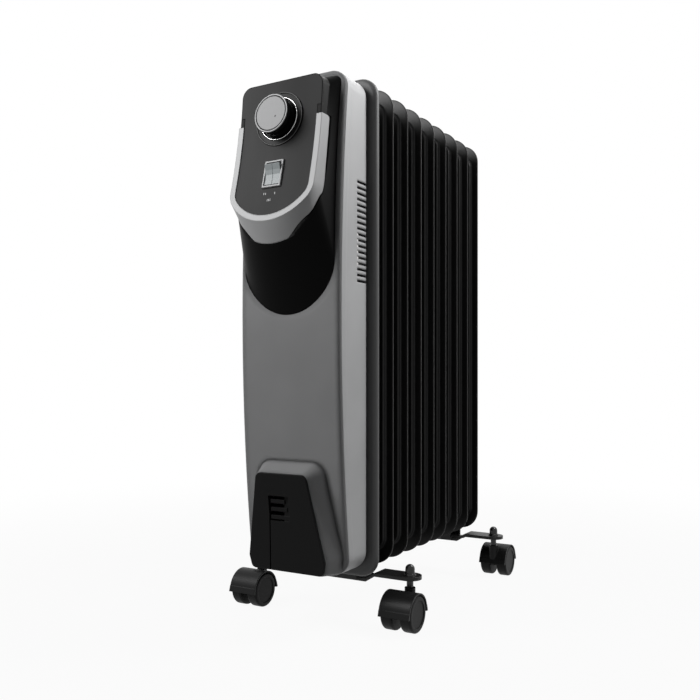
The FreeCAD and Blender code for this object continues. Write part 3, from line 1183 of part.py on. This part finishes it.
def acorn_nut(x, y, z):
    """Domed nut with a flange; its bore ends under the dome."""
    flange = Part.makeCone(NUT_BASE_R, NUT_BASE_R - NUT_FLANGE_TAPER, NUT_FLANGE, Vector(x, y, z))
    straight = NUT_HEIGHT - NUT_DOME_R
    neck = Part.makeCylinder(NUT_DOME_R, straight - NUT_FLANGE, Vector(x, y, z + NUT_FLANGE))
    dome = Part.makeSphere(NUT_DOME_R, Vector(x, y, z + straight))
    dome = dome.common(block(x - 10, x + 10, y - 10, y + 10, z + straight, z + 30))
    bore = rod(STEM_TIP_R + PRESS_GAP, Vector(x, y, z - 1), Vector(x, y, z + NUT_BORE + AXLE_END_GAP))
    return united([flange, neck, dome]).cut(bore)


def x_rod(radius, x0, x1, y, z):
    return rod(radius, Vector(x0, y, z), Vector(x1, y, z))


def caster(nodes, name, x, y, trail):
    """Twin-wheel caster: hood with its socket, axle and two wheels. The wheels trail the stem."""
    wheel_y = y + trail
    inner_r = WHEEL_R + HOOD_CLEARANCE
    outer_r = inner_r + HOOD_THICK
    web_half = WHEEL_INNER_X - HOOD_WEB_CLEARANCE
    half = WHEEL_OUTER_X
    fender = x_rod(outer_r, x - half, x + half, wheel_y, WHEEL_R)
    fender = fender.cut(x_rod(inner_r, x - half, x + half, wheel_y, WHEEL_R))
    upper = block(x - half, x + half, wheel_y - 40, wheel_y + 40, WHEEL_R - 1.0, 80)
    fender = fender.common(upper)
    lips = []
    for side in (-1, 1):
        edge = wheel_y + side * (inner_r + 0.4)
        tip = wheel_y + side * (outer_r + HOOD_LIP)
        corners = [Vector(x - half, edge, WHEEL_R - 1.0), Vector(x - half, tip, WHEEL_R - 1.0),
                   Vector(x - half, wheel_y + side * (outer_r - 0.4), WHEEL_R + 6.0),
                   Vector(x - half, edge, WHEEL_R + 3.0), Vector(x - half, edge, WHEEL_R - 1.0)]
        lips.append(Part.Face(Part.makePolygon(corners)).extrude(Vector(2 * half, 0, 0)))
    web = x_rod(inner_r + 0.5, x - web_half, x + web_half, wheel_y, WHEEL_R)
    web = web.common(block(x - half, x + half, wheel_y - 40, wheel_y + 40, WHEEL_R, 80))
    hub = x_rod(HOOD_HUB_R, x - web_half, x + web_half, wheel_y, WHEEL_R)
    wheel_rooms = []
    for side in (-1, 1):
        a = x + side * web_half
        b = x + side * (half + 1)
        wheel_rooms.append(x_rod(inner_r, min(a, b), max(a, b), wheel_y, WHEEL_R))
    socket = rod(HOOD_BOSS_R, Vector(x, y, SOCKET_FLOOR - 2), Vector(x, y, HOOD_TOP_BOSS)).cut(wheel_rooms)
    hood = united([fender, web, hub, socket] + lips)
    bore = rod(STEM_TIP_R + SOCKET_CLEARANCE, Vector(x, y, SOCKET_FLOOR), Vector(x, y, HOOD_TOP_BOSS + 5))
    axle_hole = x_rod(AXLE_R + PRESS_GAP, x - half, x + half, wheel_y, WHEEL_R)
    nodes["caster_hood_" + name] = hood.cut([bore, axle_hole])
    axle_half = half - WHEEL_CAP - AXLE_END_GAP
    nodes["caster_axle_" + name] = x_rod(AXLE_R, x - axle_half, x + axle_half, wheel_y, WHEEL_R)
    toward_middle = -1 if x > 0 else 1
    for tag, side in (("in", toward_middle), ("out", -toward_middle)):
        nodes["caster_wheel_%s_%s" % (name, tag)] = wheel(x, wheel_y, side)


def wheel(x, y, side):
    """One wheel on side -1 or 1 of its caster, rounded tread, closed outer face."""
    near = x + side * WHEEL_INNER_X
    far = x + side * WHEEL_OUTER_X
    body = x_rod(WHEEL_R, min(near, far), max(near, far), y, WHEEL_R)
    rims = [e for e in body.Edges if e.BoundBox.XLength < 0.01]
    body = body.makeFillet(WHEEL_TREAD_R, rims)
    floor = far - side * WHEEL_FACE_RECESS
    recess = x_rod(WHEEL_R - WHEEL_FACE_RIM, min(far, floor), max(far, floor), y, WHEEL_R)
    cap_end = far - side * WHEEL_CAP
    bore = x_rod(AXLE_R + AXLE_CLEARANCE, min(near, cap_end), max(near, cap_end), y, WHEEL_R)
    return body.cut([recess, bore])


def casters(nodes):
    front, rear = bracket_ys()
    for name, side, y, trail in (("fl", -1, front, -CASTER_TRAIL), ("fr", 1, front, -CASTER_TRAIL),
                                 ("rl", -1, rear, CASTER_TRAIL), ("rr", 1, rear, CASTER_TRAIL)):
        caster(nodes, name, side * STEM_X, y, trail)


# ---------------------------------------------------------------- the whole heater
def build():
    nodes = {}
    for make in (fins, hub_rings, element, shield, housing_screws, housing_shell, cord_gland, front_cover,
                 cord_plate, trim_band, face_plate, control_shroud, control_bracket, dial_ring, knob,
                 thermostat, rockers, electrics, tip_switch, feet, stems_and_nuts, casters):
        make(nodes)
    box = Part.makeCompound(list(nodes.values())).optimalBoundingBox(False, False)
    shift = -(box.YMin + box.YMax) / 2
    for shape in nodes.values():
        shape.translate(Vector(0, shift, 0))
    return nodes, shift


def export(nodes):
    os.makedirs("parts", exist_ok=True)
    for name, shape in nodes.items():
        shape.exportStep("parts/%s.step" % name)


NODES, SHIFT_Y = build()
export(NODES)
for node_name, node_shape in NODES.items():
    print(node_name, len(node_shape.Solids), "valid", node_shape.isValid(), round(node_shape.Volume))
print("nodes", len(NODES), "moved along Y by", round(SHIFT_Y, 3))
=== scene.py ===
import bpy
import bmesh
import math
import json
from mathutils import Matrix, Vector


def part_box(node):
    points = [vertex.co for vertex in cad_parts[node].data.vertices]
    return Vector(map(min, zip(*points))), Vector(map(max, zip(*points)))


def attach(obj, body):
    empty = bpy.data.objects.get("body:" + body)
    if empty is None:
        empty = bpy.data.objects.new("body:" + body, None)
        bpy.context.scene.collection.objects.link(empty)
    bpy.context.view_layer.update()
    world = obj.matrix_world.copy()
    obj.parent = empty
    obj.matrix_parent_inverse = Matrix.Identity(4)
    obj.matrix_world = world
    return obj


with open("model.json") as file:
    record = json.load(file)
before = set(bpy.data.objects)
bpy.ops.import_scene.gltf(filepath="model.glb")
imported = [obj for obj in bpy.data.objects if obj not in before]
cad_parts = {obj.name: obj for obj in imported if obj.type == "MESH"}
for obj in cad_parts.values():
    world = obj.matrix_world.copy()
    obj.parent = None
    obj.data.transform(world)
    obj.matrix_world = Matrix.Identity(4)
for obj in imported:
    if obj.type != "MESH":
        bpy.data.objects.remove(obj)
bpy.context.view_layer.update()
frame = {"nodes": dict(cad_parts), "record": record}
NODES = frame["nodes"]


# ---------------------------------------------------------------- materials
BEVEL_SAMPLES = 6
NOISE_LOW = 0.3                    # the span that a noise mostly keeps to
NOISE_HIGH = 0.7
COOL = (0.985, 0.99, 1.0)
WARM = (1.0, 0.99, 0.96)
NEUTRAL = (1.0, 1.0, 1.0)
ICE = (0.90, 0.98, 1.0)
FINE_BUMP = 0.0001                 # bump heights in metres
GRAIN_BUMP = 0.0002
PEEL_BUMP = 0.0004


class Graph:
    """A material being built, with short calls for its nodes."""

    def __init__(self, name):
        self.material = bpy.data.materials.new(name)
        self.material.use_nodes = True
        self.tree = self.material.node_tree
        self.shader = self.tree.nodes["Principled BSDF"]
        self.coords = self.tree.nodes.new("ShaderNodeTexCoord").outputs["Object"]

    def put(self, socket, value):
        if hasattr(value, "links") or hasattr(value, "is_linked"):
            self.tree.links.new(value, socket)
        else:
            socket.default_value = value

    def set(self, **values):
        for name, value in values.items():
            self.put(self.shader.inputs[name.replace("_", " ")], value)

    def stretch(self, scale):
        node = self.tree.nodes.new("ShaderNodeMapping")
        node.inputs["Scale"].default_value = scale
        self.put(node.inputs["Vector"], self.coords)
        return node.outputs["Vector"]

    def noise(self, scale, detail=4.0, rough=0.55, vector=None):
        node = self.tree.nodes.new("ShaderNodeTexNoise")
        node.inputs["Scale"].default_value = scale
        node.inputs["Detail"].default_value = detail
        node.inputs["Roughness"].default_value = rough
        self.put(node.inputs["Vector"], vector or self.coords)
        return node.outputs["Fac"]

    def spots(self, scale):
        node = self.tree.nodes.new("ShaderNodeTexVoronoi")
        node.inputs["Scale"].default_value = scale
        self.put(node.inputs["Vector"], self.coords)
        return node.outputs["Distance"]

    def remap(self, value, low, high, out_low, out_high):
        node = self.tree.nodes.new("ShaderNodeMapRange")
        limits = {"From Min": low, "From Max": high, "To Min": out_low, "To Max": out_high}
        for name, number in limits.items():
            node.inputs[name].default_value = number
        self.put(node.inputs["Value"], value)
        return node.outputs["Result"]

    def blend(self, fac, a, b):
        node = self.tree.nodes.new("ShaderNodeMix")
        node.data_type = "RGBA"
        self.put(node.inputs["Factor"], fac)
        self.put(node.inputs["A"], a)
        self.put(node.inputs["B"], b)
        return node.outputs["Result"]

    def math(self, operation, a, b):
        node = self.tree.nodes.new("ShaderNodeMath")
        node.operation = operation
        self.put(node.inputs[0], a)
        self.put(node.inputs[1], b)
        return node.outputs["Value"]

    def rounded(self, radius):
        """Normals that soften every edge of the mesh by a radius, as paint and tooling do."""
        node = self.tree.nodes.new("ShaderNodeBevel")
        node.samples = BEVEL_SAMPLES
        node.inputs["Radius"].default_value = radius
        return node.outputs["Normal"]

    def bump(self, height, strength, distance, under=None):
        node = self.tree.nodes.new("ShaderNodeBump")
        node.inputs["Strength"].default_value = strength
        node.inputs["Distance"].default_value = distance
        self.put(node.inputs["Height"], height)
        if under is not None:
            self.put(node.inputs["Normal"], under)
        return node.outputs["Normal"]


def rgb(value, tint):
    return (value * tint[0], value * tint[1], value * tint[2], 1.0)


def powder_paint(name, shade, rough, metallic=0.0, peel=0.12, flake=0.0, edge=0.001, gloss=0.5):
    """Sprayed paint: slight orange peel, faint mottling, fine flake where it is metallic."""
    spread = 0.08
    g = Graph(name)
    broad = g.noise(9.0, 3.0)
    fine = g.noise(2600.0, 2.0)
    mottle = g.remap(broad, NOISE_LOW, NOISE_HIGH, 0.0, 1.0)
    colour = g.blend(mottle, rgb(shade * (1 - spread), COOL), rgb(shade * (1 + spread), COOL))
    if flake > 0:
        speck = g.remap(g.spots(3800.0), 0.05, 0.35, flake, 0.0)
        colour = g.blend(speck, colour, rgb(min(shade * 2.2 + 0.1, 0.9), COOL))
    g.set(Base_Color=colour, Metallic=metallic)
    both = g.math("ADD", g.math("MULTIPLY", broad, 0.5), g.math("MULTIPLY", fine, 0.5))
    g.set(Roughness=g.remap(both, NOISE_LOW, NOISE_HIGH, rough - 0.04, rough + 0.05))
    normal = g.bump(g.noise(620.0, 2.0, 0.5), peel, PEEL_BUMP, g.rounded(edge))
    g.set(Normal=g.bump(fine, peel * 0.5, FINE_BUMP, normal))
    g.shader.inputs["Specular IOR Level"].default_value = gloss
    return g.material


def moulded(name, shade, rough, grain=0.1, scale=1500.0, edge=0.0006, gloss=0.3, tint=COOL):
    """Moulded plastic: fine spark-eroded grain, faint flow marks along the part."""
    spread = 0.1
    g = Graph(name)
    grain_height = g.noise(scale, 4.0, 0.6)
    flow = g.noise(14.0, 3.0, 0.5, g.stretch((1.0, 1.0, 0.35)))
    streak = g.remap(flow, 0.35, 0.65, 0.0, 1.0)
    g.set(Base_Color=g.blend(streak, rgb(shade * (1 - spread), tint), rgb(shade * (1 + spread), tint)))
    g.set(Roughness=g.remap(flow, NOISE_LOW, NOISE_HIGH, rough - 0.04, rough + 0.06))
    g.set(Normal=g.bump(grain_height, grain, GRAIN_BUMP, g.rounded(edge)))
    g.shader.inputs["Specular IOR Level"].default_value = gloss
    return g.material


def plated(name, shade, rough, grain, scale, tint):
    """Plated or polished metal with fine marks and faint clouding."""
    g = Graph(name)
    marks = g.noise(scale, 3.0, 0.6)
    cloud = g.remap(g.noise(35.0, 3.0), NOISE_LOW, NOISE_HIGH, 0.0, 1.0)
    g.set(Base_Color=g.blend(cloud, rgb(shade * 0.9, tint), rgb(shade * 1.05, tint)))
    g.set(Metallic=1.0, Roughness=g.remap(marks, 0.25, 0.75, rough * 0.75, rough * 1.3))
    g.set(Normal=g.bump(marks, grain, FINE_BUMP, g.rounded(0.0005)))
    return g.material


def rim_finish(name, out, level, depth):
    """Silver paint on a black moulding, down to a depth below its highest level along an axis."""
    blur = 0.0001
    g = Graph(name)
    along = g.tree.nodes.new("ShaderNodeVectorMath")
    along.operation = "DOT_PRODUCT"
    along.inputs[1].default_value = out
    g.put(along.inputs[0], g.coords)
    silver = g.remap(along.outputs["Value"], level - depth - blur, level - depth + blur, 0.0, 1.0)
    grain = g.noise(1500.0, 3.0)
    g.set(Base_Color=g.blend(silver, rgb(0.003, COOL), rgb(0.42, COOL)))
    g.set(Roughness=g.remap(grain, NOISE_LOW, NOISE_HIGH, 0.42, 0.52))
    g.set(Normal=g.bump(grain, 0.03, FINE_BUMP, g.rounded(0.0004)))
    g.shader.inputs["Specular IOR Level"].default_value = 0.1
    return g.material


def printed(name, shade):
    """Ink on moulded plastic, slightly uneven."""
    g = Graph(name)
    grain = g.noise(2400.0, 3.0)
    g.set(Base_Color=g.blend(grain, rgb(shade * 0.9, COOL), rgb(shade, COOL)))
    g.set(Roughness=g.remap(grain, NOISE_LOW, NOISE_HIGH, 0.45, 0.55))
    return g.material


# slot: maker, shade, roughness, then what differs from the maker's usual finish
FINISHES = {
    "module_paint": (powder_paint, 0.005, 0.38, dict(peel=0.08, edge=0.0022, gloss=0.26)),
    "hub_paint": (powder_paint, 0.006, 0.38, dict(peel=0.10, edge=0.001, gloss=0.25)),
    # shield_paint is the same gunmetal paint as housing and cover; its dark shade is painted shadow
    # from the housing
    "shield_paint": (powder_paint, 0.075, 0.50, dict(peel=0.12, edge=0.002, gloss=0.3)),
    # housing_paint and cover_paint are one gunmetal paint; the housing's brighter shade is painted
    # light on the side
    "housing_paint": (powder_paint, 0.42, 0.42,
                      dict(metallic=0.05, peel=0.07, flake=0.2, edge=0.003, gloss=0.15)),
    # the cover's darker shade is painted shade on the front, which the side lamp does not reach
    "cover_paint": (powder_paint, 0.195, 0.42,
                    dict(metallic=0.03, peel=0.07, flake=0.2, edge=0.010, gloss=0.10)),
    "zinc": (plated, 0.62, 0.34, dict(grain=0.08, scale=240.0, tint=WARM)),
    "bright_steel": (plated, 0.7, 0.18, dict(grain=0.03, scale=500.0, tint=NEUTRAL)),
    "black_steel": (powder_paint, 0.006, 0.24, dict(peel=0.05, edge=0.0006, gloss=0.4)),
    "black_plastic": (moulded, 0.002, 0.36, dict(grain=0.05, scale=2200.0, gloss=0.03, edge=0.0016)),
    "cord_plate_plastic": (moulded, 0.004, 0.50, dict(grain=0.16, scale=1400.0, gloss=0.07)),
    "panel_plastic": (moulded, 0.008, 0.50, dict(grain=0.12, scale=1800.0, gloss=0.08)),
    "trim_silver": (powder_paint, 0.30, 0.50, dict(metallic=0.10, peel=0.02, edge=0.0012, gloss=0.2)),
    "knob_silver": (powder_paint, 0.16, 0.55, dict(metallic=0.3, peel=0.02, edge=0.0004, gloss=0.2)),
    "dial_print": (moulded, 0.007, 0.45, dict(grain=0.05, gloss=0.08, edge=0.0005)),
    "rocker_plastic": (moulded, 0.27, 0.42, dict(grain=0.03, gloss=0.25, tint=ICE)),
    "caster_plastic": (moulded, 0.004, 0.40, dict(grain=0.12, scale=1300.0, gloss=0.15, edge=0.001)),
    "wheel_tread": (moulded, 0.005, 0.46, dict(grain=0.15, scale=1100.0, gloss=0.12, edge=0.001)),
    "insulation": (moulded, 0.62, 0.6, dict(grain=0.1)),
    "gasket": (moulded, 0.02, 0.7, dict(grain=0.2)),
}
MATERIALS = {}
for slot, (maker, shade, rough, more) in FINISHES.items():
    MATERIALS[slot] = maker(slot, shade, rough, **more)
PALE_PRINT = printed("pale_print", 0.55)
DARK_PRINT = printed("dark_print", 0.01)
GREY_PRINT = printed("grey_print", 0.06)

for part in frame["record"]["subparts"]:
    node = NODES[part["node"]]
    material = MATERIALS[part["material_slot"]]
    node.data.materials.clear()
    node.data.materials.append(material)

# ---------------------------------------------------------------- small details
SHIFT_Y = -0.103835                # from the first module's face to the middle of the model's box
FACE_R = 0.555                     # the curved control face, about an axis in front of it
FACE_UPRIGHT_Y = -0.0814
FACE_AXIS_Y = FACE_UPRIGHT_Y - FACE_R + SHIFT_Y
FACE_AXIS_Z = 0.6184


def face_point(x, z):
    """A point of the curved control face, its outward normal and its upward direction."""
    y = FACE_AXIS_Y + math.sqrt(FACE_R ** 2 - (z - FACE_AXIS_Z) ** 2)
    out = Vector((0.0, FACE_AXIS_Y - y, FACE_AXIS_Z - z)).normalized()
    return Vector((x, y, z)), out, out.cross(Vector((1.0, 0.0, 0.0)))


def finish_piece(name, bm, material, body, smooth=True):
    """Turns a bmesh into a named piece that rides on a body."""
    mesh = bpy.data.meshes.new(name)
    bmesh.ops.recalc_face_normals(bm, faces=bm.faces)
    bm.to_mesh(mesh)
    bm.free()
    for face in mesh.polygons:
        face.use_smooth = smooth
    mesh.materials.append(material)
    piece = bpy.data.objects.new(name, mesh)
    bpy.context.scene.collection.objects.link(piece)
    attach(piece, body)


def level_along(node, out):
    """How far a node reaches along a direction."""
    return max(vertex.co.dot(out) for vertex in NODES[node].data.vertices)


def dome(bm, centre, out, radius, height, rings, sides):
    """A low lens-shaped spot, closed underneath."""
    turn = out.to_track_quat("Z", "Y").to_matrix()
    previous = None
    for ring in range(rings):
        share = ring / rings
        r = radius * math.cos(share * math.pi / 2)
        h = height * math.sin(share * math.pi / 2)
        loop = [bm.verts.new(centre + turn @ Vector((r * math.cos(a), r * math.sin(a), h)))
                for a in (2 * math.pi * k / sides for k in range(sides))]
        if previous is None:
            bm.faces.new(list(reversed(loop)))
        else:
            for k in range(sides):
                bm.faces.new((previous[k], previous[(k + 1) % sides], loop[(k + 1) % sides], loop[k]))
        previous = loop
    tip = bm.verts.new(centre + out * height)
    for k in range(sides):
        bm.faces.new((previous[k], previous[(k + 1) % sides], tip))


def stroke(bm, start, end, out, width, height):
    """A short raised bar with chamfered sides, closed underneath."""
    along = (end - start).normalized()
    across = along.cross(out).normalized()
    outlines = []
    for inset, lift in ((0.0, 0.0), (0.0, height * 0.6), (height, height)):
        half = width / 2 - inset
        a = start + along * inset
        b = end - along * inset
        outlines.append([bm.verts.new(p + out * lift) for p in
                         (a - across * half, b - across * half, b + across * half, a + across * half)])
    bm.faces.new(list(reversed(outlines[0])))
    for low_loop, high_loop in zip(outlines, outlines[1:]):
        for k in range(4):
            bm.faces.new((low_loop[k], low_loop[(k + 1) % 4], high_loop[(k + 1) % 4], high_loop[k]))
    bm.faces.new(outlines[-1])


def hoop(name, centre, out, radius, thick, material, body):
    """A thin round bead laid round an axis."""
    sides = 96
    round_sides = 8
    turn = out.to_track_quat("Z", "Y").to_matrix()
    bm = bmesh.new()
    loops = []
    for k in range(sides):
        angle = 2 * math.pi * k / sides
        loop = []
        for m in range(round_sides):
            around = 2 * math.pi * m / round_sides
            r = radius + thick * math.cos(around)
            point = Vector((r * math.cos(angle), r * math.sin(angle), thick * math.sin(around)))
            loop.append(bm.verts.new(centre + turn @ point))
        loops.append(loop)
    for k in range(sides):
        here, after = loops[k], loops[(k + 1) % sides]
        for m in range(round_sides):
            n = (m + 1) % round_sides
            bm.faces.new((here[m], after[m], after[n], here[n]))
    finish_piece(name, bm, material, body)


PRINT_SINK = 0.00005               # how far a mark's underside is below the surface

# pointer dot on the knob's cap
KNOB_Z = 0.5465
POINTER_OUT = 0.0072               # from the knob's axis
POINTER_TURN = math.radians(-35)
POINTER_R = 0.0011
POINTER_RISE = 0.00025
bm = bmesh.new()
knob_foot, knob_out, knob_up = face_point(0.0, KNOB_Z)
cap_centre = knob_foot + knob_out * (level_along("knob_cap", knob_out) - knob_foot.dot(knob_out))
dot_place = cap_centre + Vector((1, 0, 0)) * POINTER_OUT * math.cos(POINTER_TURN)
dot_place += knob_up * POINTER_OUT * math.sin(POINTER_TURN) - knob_out * PRINT_SINK
dome(bm, dot_place, knob_out, POINTER_R, POINTER_RISE, rings=3, sides=20)
finish_piece("pointer_dot", bm, DARK_PRINT, "knob")

# silver only on the knob's rim, a bright bead round its foot and a grey edge round the dial
RIM_SILVER_DEPTH = 0.0011
BEAD_R = 0.0228
BEAD_THICK = 0.00035
EDGE_R = 0.0287
EDGE_SINK = 0.0004
knob_rim = rim_finish("knob_rim", knob_out, level_along("knob_ring", knob_out), RIM_SILVER_DEPTH)
NODES["knob_ring"].data.materials[0] = knob_rim
bead_centre = knob_foot + knob_out * (level_along("dial_ring", knob_out) - knob_foot.dot(knob_out))
edge_centre = bead_centre - knob_out * EDGE_SINK
hoop("dial_bead", bead_centre, knob_out, BEAD_R, BEAD_THICK,
     MATERIALS["bright_steel"], "heater")
hoop("dial_edge", edge_centre, knob_out, EDGE_R, BEAD_THICK, GREY_PRINT, "heater")

# plain strokes under the switches: two, one and three
MARK_WIDTH = 0.0007
MARK_HEIGHT = 0.00018
MARK_HALF = 0.0013
MARKS = (
    (-0.0072, 0.4655, (-0.0011, 0.0011)),
    (0.0056, 0.4650, (0.0,)),
    (-0.0006, 0.4580, (-0.0018, 0.0, 0.0018)),
)
bm = bmesh.new()
for x, z, offsets in MARKS:
    place, out, up = face_point(x, z)
    for offset in offsets:
        middle = place + Vector((offset, 0, 0)) - out * PRINT_SINK
        stroke(bm, middle - up * MARK_HALF, middle + up * MARK_HALF, out, MARK_WIDTH, MARK_HEIGHT)
finish_piece("face_marks", bm, PALE_PRINT, "heater", smooth=False)

# spot welds along the flat seams on the open back of the last module
WELD_PITCH = 0.0295
WELD_R = 0.0021
WELD_RISE = 0.00025
WELD_INSET = 0.0046
WELD_END = 0.04
SEAM_REACH = 0.0005                # vertices this near the module's side are on its seam
LAST_MODULE = "fin_9"
bm = bmesh.new()
fin_low, fin_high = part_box(LAST_MODULE)
seam = [v.co.y for v in NODES[LAST_MODULE].data.vertices if abs(abs(v.co.x) - fin_high[0]) < SEAM_REACH]
weld_y = max(seam) - PRINT_SINK
weld_x = fin_high[0] - WELD_INSET
weld_count = int((fin_high[2] - fin_low[2] - 2 * WELD_END) / WELD_PITCH)
weld_start = (fin_low[2] + fin_high[2]) / 2 - WELD_PITCH * weld_count / 2
for side in (-1, 1):
    for step in range(weld_count + 1):
        centre = Vector((side * weld_x, weld_y, weld_start + step * WELD_PITCH))
        dome(bm, centre, Vector((0, 1, 0)), WELD_R, WELD_RISE, rings=2, sides=12)
finish_piece("seam_welds", bm, MATERIALS["module_paint"], "heater")

# ---------------------------------------------------------------- camera
SENSOR = 36.0
FOCAL_SHARE = 803.1 / 700          # focal length and shift, as shares of the frame's width
SHIFT_SHARE = 28.91 / 700
CAMERA_PLACE = (0.49209, -0.77841 + SHIFT_Y, 0.27308)
CAMERA_HEADING = 30.41
camera_data = bpy.data.cameras.new("camera")
camera_data.sensor_width = SENSOR
camera_data.lens = FOCAL_SHARE * SENSOR
camera_data.shift_y = SHIFT_SHARE
camera = bpy.data.objects.new("camera", camera_data)
camera.location = CAMERA_PLACE
camera.rotation_euler = (math.radians(90), 0, math.radians(CAMERA_HEADING))
bpy.context.scene.collection.objects.link(camera)
bpy.context.scene.camera = camera

# ---------------------------------------------------------------- stage and light
WORLD_LIGHT = 0.05                 # world strength for rays that light the object
FLOOR_R = 6.0
FLOOR_SIDES = 64
FLOOR_SHADE = 0.3
FLOOR_FADE = {"From Min": 0.35, "From Max": 1.3, "To Min": 0.94, "To Max": 1.0}


def background_ray(tree):
    """1 for the rays that should see a white background: camera, glossy and transmission rays."""
    path = tree.nodes.new("ShaderNodeLightPath")
    seen = path.outputs["Is Camera Ray"]
    for name in ("Is Glossy Ray", "Is Transmission Ray"):
        either = tree.nodes.new("ShaderNodeMath")
        either.operation = "MAXIMUM"
        tree.links.new(seen, either.inputs[0])
        tree.links.new(path.outputs[name], either.inputs[1])
        seen = either.outputs["Value"]
    return seen


world = bpy.data.worlds.new("world")
bpy.context.scene.world = world
world.use_nodes = True
tree = world.node_tree
backdrop = tree.nodes["Background"]
backdrop.inputs["Color"].default_value = (1, 1, 1, 1)
seen = background_ray(tree)
strength = tree.nodes.new("ShaderNodeMapRange")
strength.inputs["To Min"].default_value = WORLD_LIGHT
strength.inputs["To Max"].default_value = 1.0
tree.links.new(seen, strength.inputs["Value"])
tree.links.new(strength.outputs["Result"], backdrop.inputs["Strength"])


def floor():
    """A white floor that keeps the object's shadow and meets the background without a line."""
    mesh = bpy.data.meshes.new("floor")
    angles = [2 * math.pi * i / FLOOR_SIDES for i in range(FLOOR_SIDES)]
    ring = [(FLOOR_R * math.cos(a), FLOOR_R * math.sin(a), 0.0) for a in angles]
    mesh.from_pydata(ring, [], [list(range(FLOOR_SIDES))])
    obj = bpy.data.objects.new("floor", mesh)
    bpy.context.scene.collection.objects.link(obj)
    material = bpy.data.materials.new("floor_paint")
    material.use_nodes = True
    tree = material.node_tree
    shader = tree.nodes["Principled BSDF"]
    shader.inputs["Base Color"].default_value = (FLOOR_SHADE, FLOOR_SHADE, FLOOR_SHADE, 1)
    shader.inputs["Roughness"].default_value = 0.9
    glow = tree.nodes.new("ShaderNodeEmission")
    glow.inputs["Color"].default_value = (1, 1, 1, 1)
    mix = tree.nodes.new("ShaderNodeMixShader")
    seen = background_ray(tree)
    coords = tree.nodes.new("ShaderNodeTexCoord")
    away = tree.nodes.new("ShaderNodeVectorMath")
    away.operation = "LENGTH"
    tree.links.new(coords.outputs["Object"], away.inputs[0])
    fade = tree.nodes.new("ShaderNodeMapRange")
    fade.interpolation_type = "SMOOTHSTEP"
    for name, number in FLOOR_FADE.items():
        fade.inputs[name].default_value = number
    tree.links.new(away.outputs["Value"], fade.inputs["Value"])
    share = tree.nodes.new("ShaderNodeMath")
    share.operation = "MULTIPLY"
    tree.links.new(seen, share.inputs[0])
    tree.links.new(fade.outputs["Result"], share.inputs[1])
    tree.links.new(share.outputs["Value"], mix.inputs["Fac"])
    tree.links.new(shader.outputs["BSDF"], mix.inputs[1])
    tree.links.new(glow.outputs["Emission"], mix.inputs[2])
    tree.links.new(mix.outputs["Shader"], tree.nodes["Material Output"].inputs["Surface"])
    mesh.materials.append(material)


floor()


def softbox(name, place, target, size, energy):
    """A square soft lamp at a place, facing a target."""
    data = bpy.data.lights.new(name, "AREA")
    data.shape = "RECTANGLE"
    data.size = size
    data.size_y = size
    data.energy = energy
    lamp = bpy.data.objects.new(name, data)
    lamp.location = place
    lamp.rotation_euler = (Vector(target) - Vector(place)).to_track_quat("-Z", "Y").to_euler()
    bpy.context.scene.collection.objects.link(lamp)


softbox("key", (-0.52, -0.78, 0.98), (0, -0.2, 0.45), 0.5, 12)
softbox("side", (0.62, 0.38, 1.02), (0.05, 0.0, 0.5), 0.4, 10.5)
softbox("top", (0.0, 0.9, 1.7), (0, 0.1, 0.5), 0.8, 7)

bpy.context.scene.view_settings.view_transform = "Standard"
